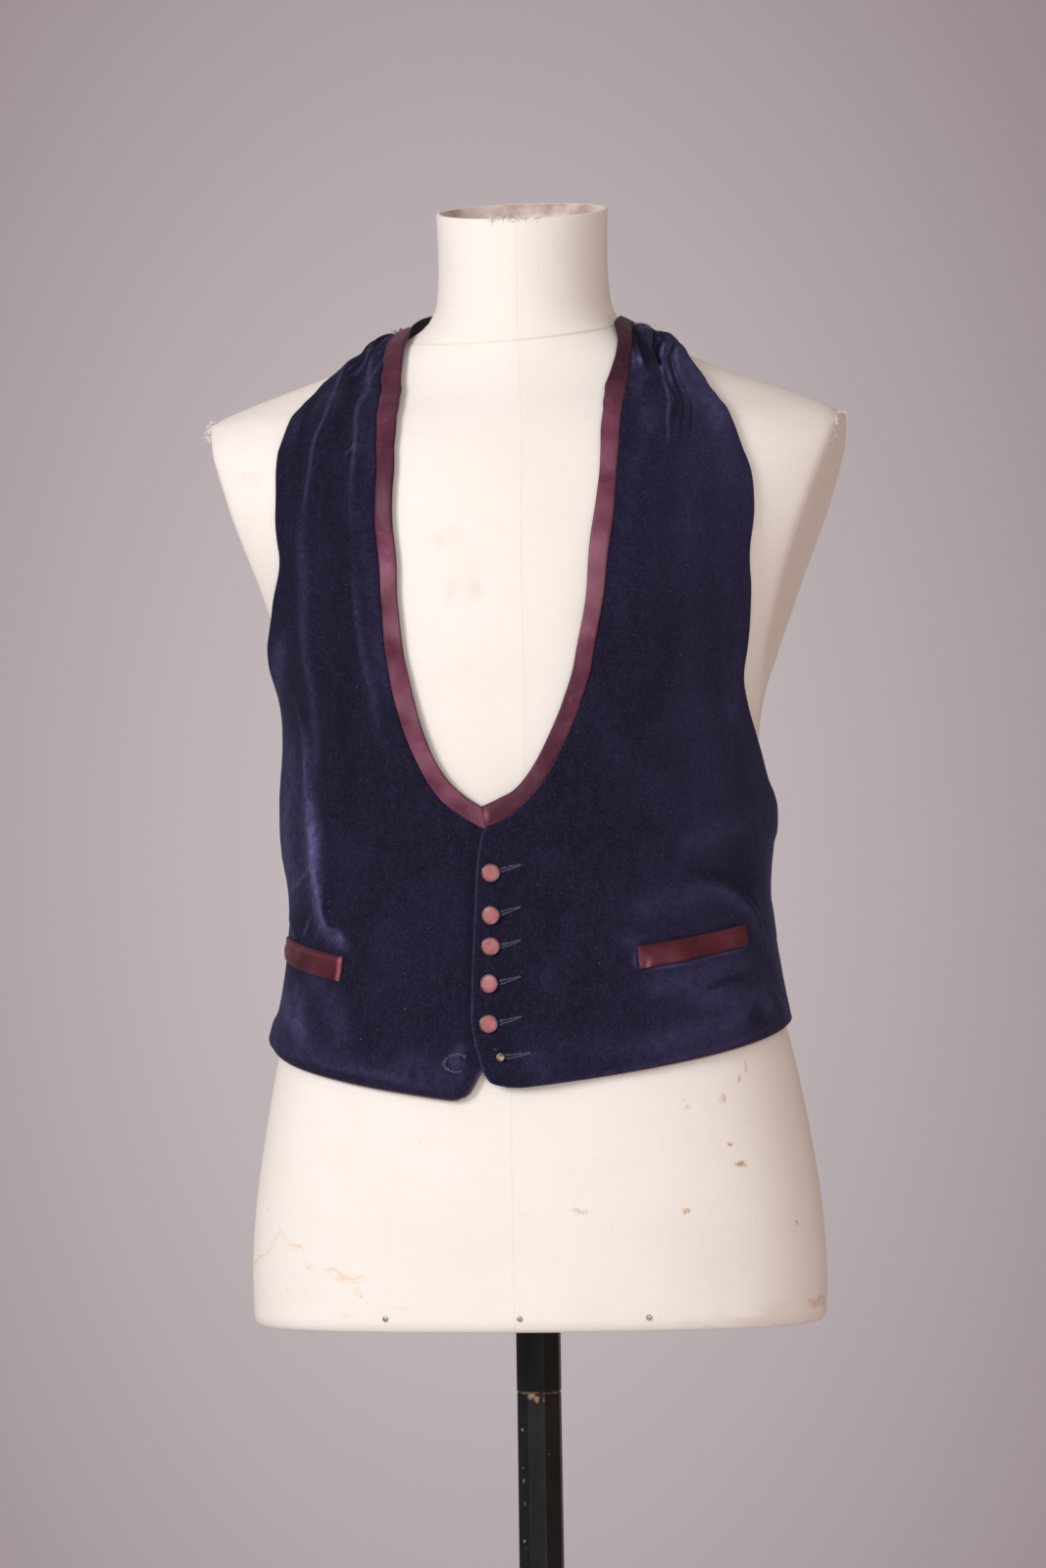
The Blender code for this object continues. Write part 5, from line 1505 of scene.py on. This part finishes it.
bpy.ops.object.shade_smooth_by_angle(angle=math.radians(40))
shank.data.transform(face_out(*SHANK_PLACE, upper_cloth, 2.5))
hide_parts("button_shank")
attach(shank, "root")

# %% [markdown]
# ## Ribbons
# The waistcoat has no back. A black ribbon runs from one gathered shoulder round the back of the
# neck to the other, through a wire slide, and a wider ribbon crosses the small of the back. Each is
# a flat band along stops on the form. Grosgrain has fine ribs across its length, so its finish reads
# the UV that runs along the band.

# %% Ribbon finish and bands
# Each stop of a strap is a turn, a height and the strap's room over the form
NECK_STRAP = (
    (-106.5, 1498, 9), (-114, 1502, 6.5), (-128, 1508, 3), (-150, 1513, 0.9), (-180, 1515, 0.7),
    (-210, 1514, 0.9), (-232, 1509.5, 3), (-246, 1504, 6.5), (-252, 1501.5, 9),
)
WAIST_STRAP = (
    (94.2, 1085, 5.8), (104, 1084, 4.5), (122, 1083, 2.8), (180, 1082, 2.3), (238, 1083, 2.8), (256, 1084, 5),
    (265.6, 1085, 8.5),
)

ribbon = finish("black ribbon", (0.006, 0.005, 0.006), 0.5, Specular_IOR_Level=0.28, Sheen_Weight=0.06)
mottled(200.0, (0.004, 0.0035, 0.004), (0.011, 0.009, 0.010))
bump((weave(coordinates("UV"), 340.0, "Y"), 0.3, 0.18), (grain(220.0), 0.2, 0.3))


class Strap:
    """A flat band along stops on the form."""

    def __init__(self, stops):
        places = np.linspace(0, 1, len(stops))
        self.lines = [SmoothLine(places, values) for values in zip(*stops)]

    def centre(self, share):
        turn, height, room = (line(share) for line in self.lines)
        return on_form(turn, height) + form_normal(turn, height) * np.asarray(room)[..., None]

    def frame(self, share):
        """Centres, outward directions and directions across the band."""
        turn, height, _ = (line(share) for line in self.lines)
        step = 0.004
        run = self.centre(np.minimum(share + step, 1)) - self.centre(np.maximum(share - step, 0))
        run = unit(run)
        outward = form_normal(turn, height)
        outward = unit(outward - run * (outward * run).sum(-1, keepdims=True))
        return self.centre(share), outward, np.cross(outward, run)


def make_ribbon(name, stops, wide, thick, pieces, cup, upright=None):
    share = np.linspace(0, 1, pieces)
    centre, outward, across = Strap(stops).frame(share)
    if upright:
        places, turned, lifts = zip(*upright)
        stand, rise = (SmoothLine(places, values)(share)[:, None] for values in (turned, lifts))
        outward = unit(outward * (1 - stand) + unit(centre * (1, 1, 0)) * stand)
        across = unit(np.cross(outward, unit(np.gradient(centre, axis=0))))
        centre = centre + np.array([0.0, 0.0, 1.0]) * rise
    side = np.linspace(-1, 1, 11)
    width = across[:, None, :] * (wide / 2) * side[:, None]
    ripple = waves(centre[:, None, :] + width, 14.0, 0.22)
    lift = thick - 0.5 * np.abs(side) ** 6 + cup * side ** 2 + ripple
    outer = centre[:, None, :] + width + outward[:, None, :] * lift[..., None]
    inside = outer - outward[:, None, :] * (0.75 - 0.3 * np.abs(side) ** 6)[:, None]
    made = closed_wall(name, outer, inside, [ribbon, ribbon])
    long = np.linalg.norm(np.diff(centre, axis=0), axis=-1).sum()
    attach(made, "root")
    print(name, "length", round(long), "area", round(area_of(made), 5))
    return made, long


# Each end is tucked a little under the gathered velvet, where it is sewn
SEWN_END = (-101, 1495, 5.2)
FAR_SEWN_END = (-257.5, 1498.5, 5.2)
UPRIGHT = (
    (0, 0, 0), (0.09, 0, 0), (0.14, 0.2, 1.2), (0.185, 0.65, 4.4), (0.235, 0.95, 7.8), (0.30, 1, 9.3),
    (0.38, 0.85, 6.5), (0.46, 0.4, 2.5), (0.55, 0, 0), (1, 0, 0),
)
stops = (SEWN_END, *NECK_STRAP, FAR_SEWN_END)
neck_ribbon, neck_long = make_ribbon("neck_ribbon", stops, 12.0, 1.5, 240, 0.12, UPRIGHT)
waist_ribbon, waist_long = make_ribbon("waist_ribbon", WAIST_STRAP, 28.0, 1.7, 260, 0.0)
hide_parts("neck_strap")
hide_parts("waist_strap")

# %% [markdown]
# ## Slide, ring and nail heads
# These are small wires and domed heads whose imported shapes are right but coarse. Each is copied,
# its loose triangles are merged into one skin, and a subdivision rounds it.

# %% Small metal pieces
wire_finish = finish("black wire", (0.02, 0.02, 0.022), 0.32, 1.0)
mottled(900.0, (0.012, 0.012, 0.014), (0.10, 0.10, 0.105), 0.4)
nickel = finish("nickel nail head", (0.50, 0.49, 0.47), 0.28, 1.0)
mottled(900.0, (0.22, 0.20, 0.18), (0.62, 0.61, 0.59), 0.35)
bump((grain(1400.0), 0.25, 0.1))


def rounded_copy(node_name, name, material, levels=2):
    """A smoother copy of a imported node, which it then stands for."""
    source = frame["nodes"][node_name]
    made = source.copy()
    made.data = source.data.copy()
    made.name = made.data.name = name
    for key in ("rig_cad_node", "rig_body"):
        if key in made:
            del made[key]
    made.parent = None
    bpy.context.scene.collection.objects.link(made)
    made.data.materials.clear()
    made.data.materials.append(material)
    flat_enough = math.radians(40)
    edit_all(
        made, (bpy.ops.mesh.remove_doubles, {"threshold": 0.01 * MM}),
        (bpy.ops.mesh.tris_convert_to_quads, {"face_threshold": flat_enough, "shape_threshold": flat_enough}),
        FACES_OUT,
    )
    if levels:
        smooth = made.modifiers.new("rounding", "SUBSURF")
        smooth.levels = smooth.render_levels = levels
        bpy.ops.object.modifier_apply(modifier=smooth.name)
    bpy.ops.object.shade_smooth()
    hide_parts(node_name)
    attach(made, "root")
    return made


rounded_copy("strap_ring", "ribbon_ring", wire_finish)
rounded_copy("strap_slide", "ribbon_slide", wire_finish)
for number in (1, 2, 3):
    rounded_copy(f"form_tack_{number}", f"nail_head_{number}", nickel)

# %% [markdown]
# ## Loose threads
# Where the gathers at the shoulders were cut, the velvet frays into short dark threads. The linen
# frays too, in white threads at both shoulder tips, down the seam of the plate and at the rim of the
# neck. Some thread is left where a button was. Each thread is a thin tube on a short random walk
# that starts on the cloth, with its own fixed seed so that it comes out the same every time.

# %% Threads
white_thread = finish("linen thread", (0.80, 0.77, 0.72), 0.8, Sheen_Weight=0.3)
mottled(500.0, (0.70, 0.66, 0.60), (0.90, 0.88, 0.84))
bump((grain(2500.0), 0.3, 0.1))
navy_thread = finish("frayed velvet thread", (0.014, 0.012, 0.032), 0.85, Sheen_Weight=0.5)
mottled(700.0, (0.009, 0.008, 0.020), (0.045, 0.040, 0.085))
bump((grain(2500.0), 0.3, 0.1))


def loose_paths(seed, count, places, aim, long, curl):
    """Short curling walks that start near the given places and head along aim."""
    maker = random.Random(seed)
    paths = []
    for _ in range(count):
        i = maker.uniform(0, len(places) - 1)
        low = int(i)
        start = places[low] + (places[min(low + 1, len(places) - 1)] - places[low]) * (i - low)
        point = Vector(start) + Vector([maker.gauss(0, 0.5) for _ in range(3)])
        heading = (Vector(aim) + Vector([maker.gauss(0, 0.7) for _ in range(3)])).normalized()
        step = long * maker.uniform(0.45, 1.0) / 6
        path = [list(point - heading * 0.8)]
        for _ in range(6):
            path.append(list(point))
            heading = (heading + Vector([maker.gauss(0, curl) for _ in range(3)])).normalized()
            point = point + heading * step
        paths.append(path)
    return paths


def front_edge(cloth, pairs, out=1.2):
    return [cloth.point(turn, height, out) for turn, height in pairs]


left_top = front_edge(upper_cloth, ((78, 1506.5), (86, 1504.5), (94, 1501), (100, 1499), (105, 1497.5)))
right_top = front_edge(under_cloth, ((-80, 1502), (-88, 1500.5), (-96, 1498.5), (-104, 1496.5)))
frays = loose_paths(3, 64, left_top, (0.35, -0.2, 0.6), 9.0, 1.0)
frays += loose_paths(8, 40, right_top, (-0.4, -0.2, 0.7), 7.5, 1.0)
frays += loose_paths(14, 3, [on_velvet(upper_cloth, -1.8, 999, 0.4)] * 2, (-0.5, -0.4, 0.4), 8.0, 0.6)
frayed = threads_piece("frayed_threads", frays, 0.13, navy_thread)
ring = np.radians(np.linspace(60, 300, 12))
ring_places = [
    on_velvet(under_cloth, -9.0 + 2.6 * math.cos(a), 989.5 + 6.2 * math.sin(a), 0.35) for a in ring
]
rest = loose_paths(12, 46, ring_places, (0.0, -0.35, 0.0), 4.0, 1.2)
for shift in (-0.5, 0.0, 0.45):
    rest.append([point + np.array([shift, -0.1, shift * 0.6]) for point in ring_places])
rest += loose_paths(13, 16, [on_velvet(under_cloth, -7.5, 994.0, 0.3)] * 2, (0.6, -0.3, 0.1), 5.0, 0.8)
button_rest = threads_piece("thread_of_a_lost_button", rest, 0.14, dusky)


def plate_point(turn, height, out=0.4):
    point = on_form(turn, height)
    most = plate_at(height) + PLATE_TURNED * (point[1] - float(FORM["widest"](height)))
    point[0] = np.clip(point[0], -most, most)
    return point + np.array([math.copysign(out, turn), 0, 0])


left_shoulder, right_shoulder, plate_seam = (
    [plate_point(turn, height) for turn, height in places]
    for places in (
        ((74, 1444), (86, 1446), (96, 1446), (106, 1443)),
        ((-70, 1434), (-74, 1440), (-80, 1445), (-90, 1448)),
        ((74, 1442), (71.5, 1436), (70, 1428), (69, 1420)),
    )
)
white = loose_paths(21, 26, left_shoulder, (0.7, -0.3, 0.6), 5.5, 0.8)
white += loose_paths(22, 74, right_shoulder, (-0.9, -0.3, 0.15), 7.5, 1.0)
white += loose_paths(23, 54, plate_seam, (0.4, -0.8, -0.1), 5.5, 1.1)
rim_front = [neck_ring(1.0)[i] for i in (-8, -4, 0, 4, 8, 12)]
rim_left = [neck_ring(1.0)[i] for i in (-40, -38, -36)]
white += loose_paths(24, 70, rim_front, (0.1, -0.5, -0.6), 7.5, 0.9)
white += loose_paths(25, 14, rim_left, (-0.6, -0.2, 0.2), 5.0, 0.9)
form_threads = threads_piece("frayed_linen_threads", white, 0.2, white_thread)
print("loose threads", len(frays) + len(white))

# %% [markdown]
# ## Lint
# Old velvet always carries lint. The finish has the finest specks, and a few dozen short pale fibres
# that lie on the pile are modelled, because they catch the light and cast a shadow up close.

# %% Lint on the velvet
lint_paths = []
maker = random.Random(31)
for cloth, low_turn, high_turn in ((upper_cloth, 4, 84), (under_cloth, -84, -12)):
    for _ in range(46):
        turn, height = maker.uniform(low_turn, high_turn), maker.uniform(1010, 1140)
        if maker.random() < 0.35:
            turn, height = (1 if low_turn > 0 else -1) * maker.uniform(31, 44), maker.uniform(1150, 1440)
        bend = maker.uniform(-1, 1)
        angle = maker.uniform(0, math.pi)
        long = maker.uniform(0.3, 1.1)
        path = []
        for t in (-1.0, -0.4, 0.3, 1.0):
            aside = long * (math.cos(angle) * t - bend * math.sin(angle) * t * t)
            above = long * (math.sin(angle) * t + bend * math.cos(angle) * t * t)
            path.append(on_velvet(cloth, turn + aside / 2.6, height + above, 0.35))
        lint_paths.append(path)
lint_finish = finish("pale lint", (0.20, 0.19, 0.24), 0.9)
paint_with(blend(grain(300.0), (0.13, 0.12, 0.16), (0.32, 0.30, 0.35)))
lint = threads_piece("lint_fibres", lint_paths, 0.06, lint_finish, sides=3)
print("lint fibres", len(lint_paths))

# %% [markdown]

# %% [markdown]
# ## Stand
# The pole is an eight-sided tube in black gloss paint, in two lengths with a joint under the form,
# where the paint is chipped to a tan primer. Below the photograph's edge it goes down to a plain
# round cast base. The pole's copies get their corners bevelled. The base is spun from a profile.

# %% Paint finish
JOINT_HEIGHT = 0.751
POLE_CHIPS = [Spot(*row) for row in (
    (-3, 748.5, 4.6, 3, 1), (0.5, 746.5, 2.4, 3.6, 1), (-6.5, 750.2, 5, 1.2, 0.8),
    (-11, 724.4, 1.4, 1.6, 0.8), (-10.8, 699, 0.9, 3.4, 0.9), (-10.5, 688, 1.1, 2.2, 0.7),
    (-9.8, 672, 0.7, 2.4, 0.6), (-10.6, 645, 1.4, 1.6, 0.9), (-9, 640, 0.8, 1, 0.5),
)]
paint = finish("black stand paint", (0.006, 0.006, 0.007), 0.36, Specular_IOR_Level=0.13)
place = parts_of(coordinates())
from_joint = sum_of("ABSOLUTE", less(place["Z"], JOINT_HEIGHT))
joint_line = times(ramp(from_joint, 0.0004, 0.0010, 0.75, 0.0), ramp(grain(70.0, 4.0), 0.42, 0.5))
chips = times(spot_mask(POLE_CHIPS, place), ramp(grain(300.0), 0.40, 0.48))
scrapes = ramp(grain(110.0, 6.0), 0.715, 0.74, 0.0, 0.7)
pale_marks = larger(larger(chips, joint_line), scrapes)
colour = blend(ramp(grain(40.0), 0.3, 0.7), (0.004, 0.004, 0.004), (0.008, 0.008, 0.009))
paint_with(blend(pale_marks, colour, (0.30, 0.19, 0.11)))
fill(shader.inputs["Roughness"], ramp(pale_marks, 0.0, 1.0, 0.38, 0.75))
bump((grain(120.0), 0.08, 0.4), (pale_marks, -0.3, 0.1))

# %% Pole and base
for node_name, name in (("pole_upper", "upper_pole"), ("pole_lower", "lower_pole")):
    made = rounded_copy(node_name, name, paint, levels=0)
    edit_all(made, (bpy.ops.mesh.dissolve_limited, {"angle_limit": math.radians(2)}))
    bevel = made.modifiers.new("rounded corners", "BEVEL")
    bevel.width = 1.1 * MM
    bevel.segments = 4
    bpy.ops.object.modifier_apply(modifier=bevel.name)
    bpy.ops.object.shade_smooth_by_angle(angle=math.radians(30))

BASE_PROFILE = (
    (0, 0), (194, 0), (198, 1.2), (200, 4), (200, 9), (198.8, 12), (195.5, 13.9), (170, 15), (120, 17),
    (70, 19.2), (48, 21.3), (38, 24), (32, 28), (28.6, 33), (27.2, 39), (27, 46), (27, 61), (26.2, 63.2),
    (24.5, 64), (0, 64),
)
mesh = bpy.data.meshes.new("round_base")
edges = [(i, i + 1) for i in range(len(BASE_PROFILE) - 1)]
mesh.from_pydata([(r * MM, 0, z * MM) for r, z in BASE_PROFILE], edges, [])
base = bpy.data.objects.new("round_base", mesh)
bpy.context.scene.collection.objects.link(base)
whole_turn = {"steps": 112, "angle": math.radians(FULL_TURN), "center": (0, 0, 0), "axis": (0, 0, 1)}
edit_all(
    base, (bpy.ops.mesh.spin, whole_turn), (bpy.ops.mesh.remove_doubles, {"threshold": 0.02 * MM}), FACES_OUT
)
base.data.materials.append(paint)
bpy.ops.object.shade_smooth_by_angle(angle=math.radians(35))
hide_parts("stand_base")
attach(base, "root")
print("base faces", len(base.data.polygons))

# %% Finish
triangles = {piece.name: sum(len(face.vertices) - 2 for face in piece.data.polygons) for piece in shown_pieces()}
print("triangles", sum(triangles.values()), triangles)
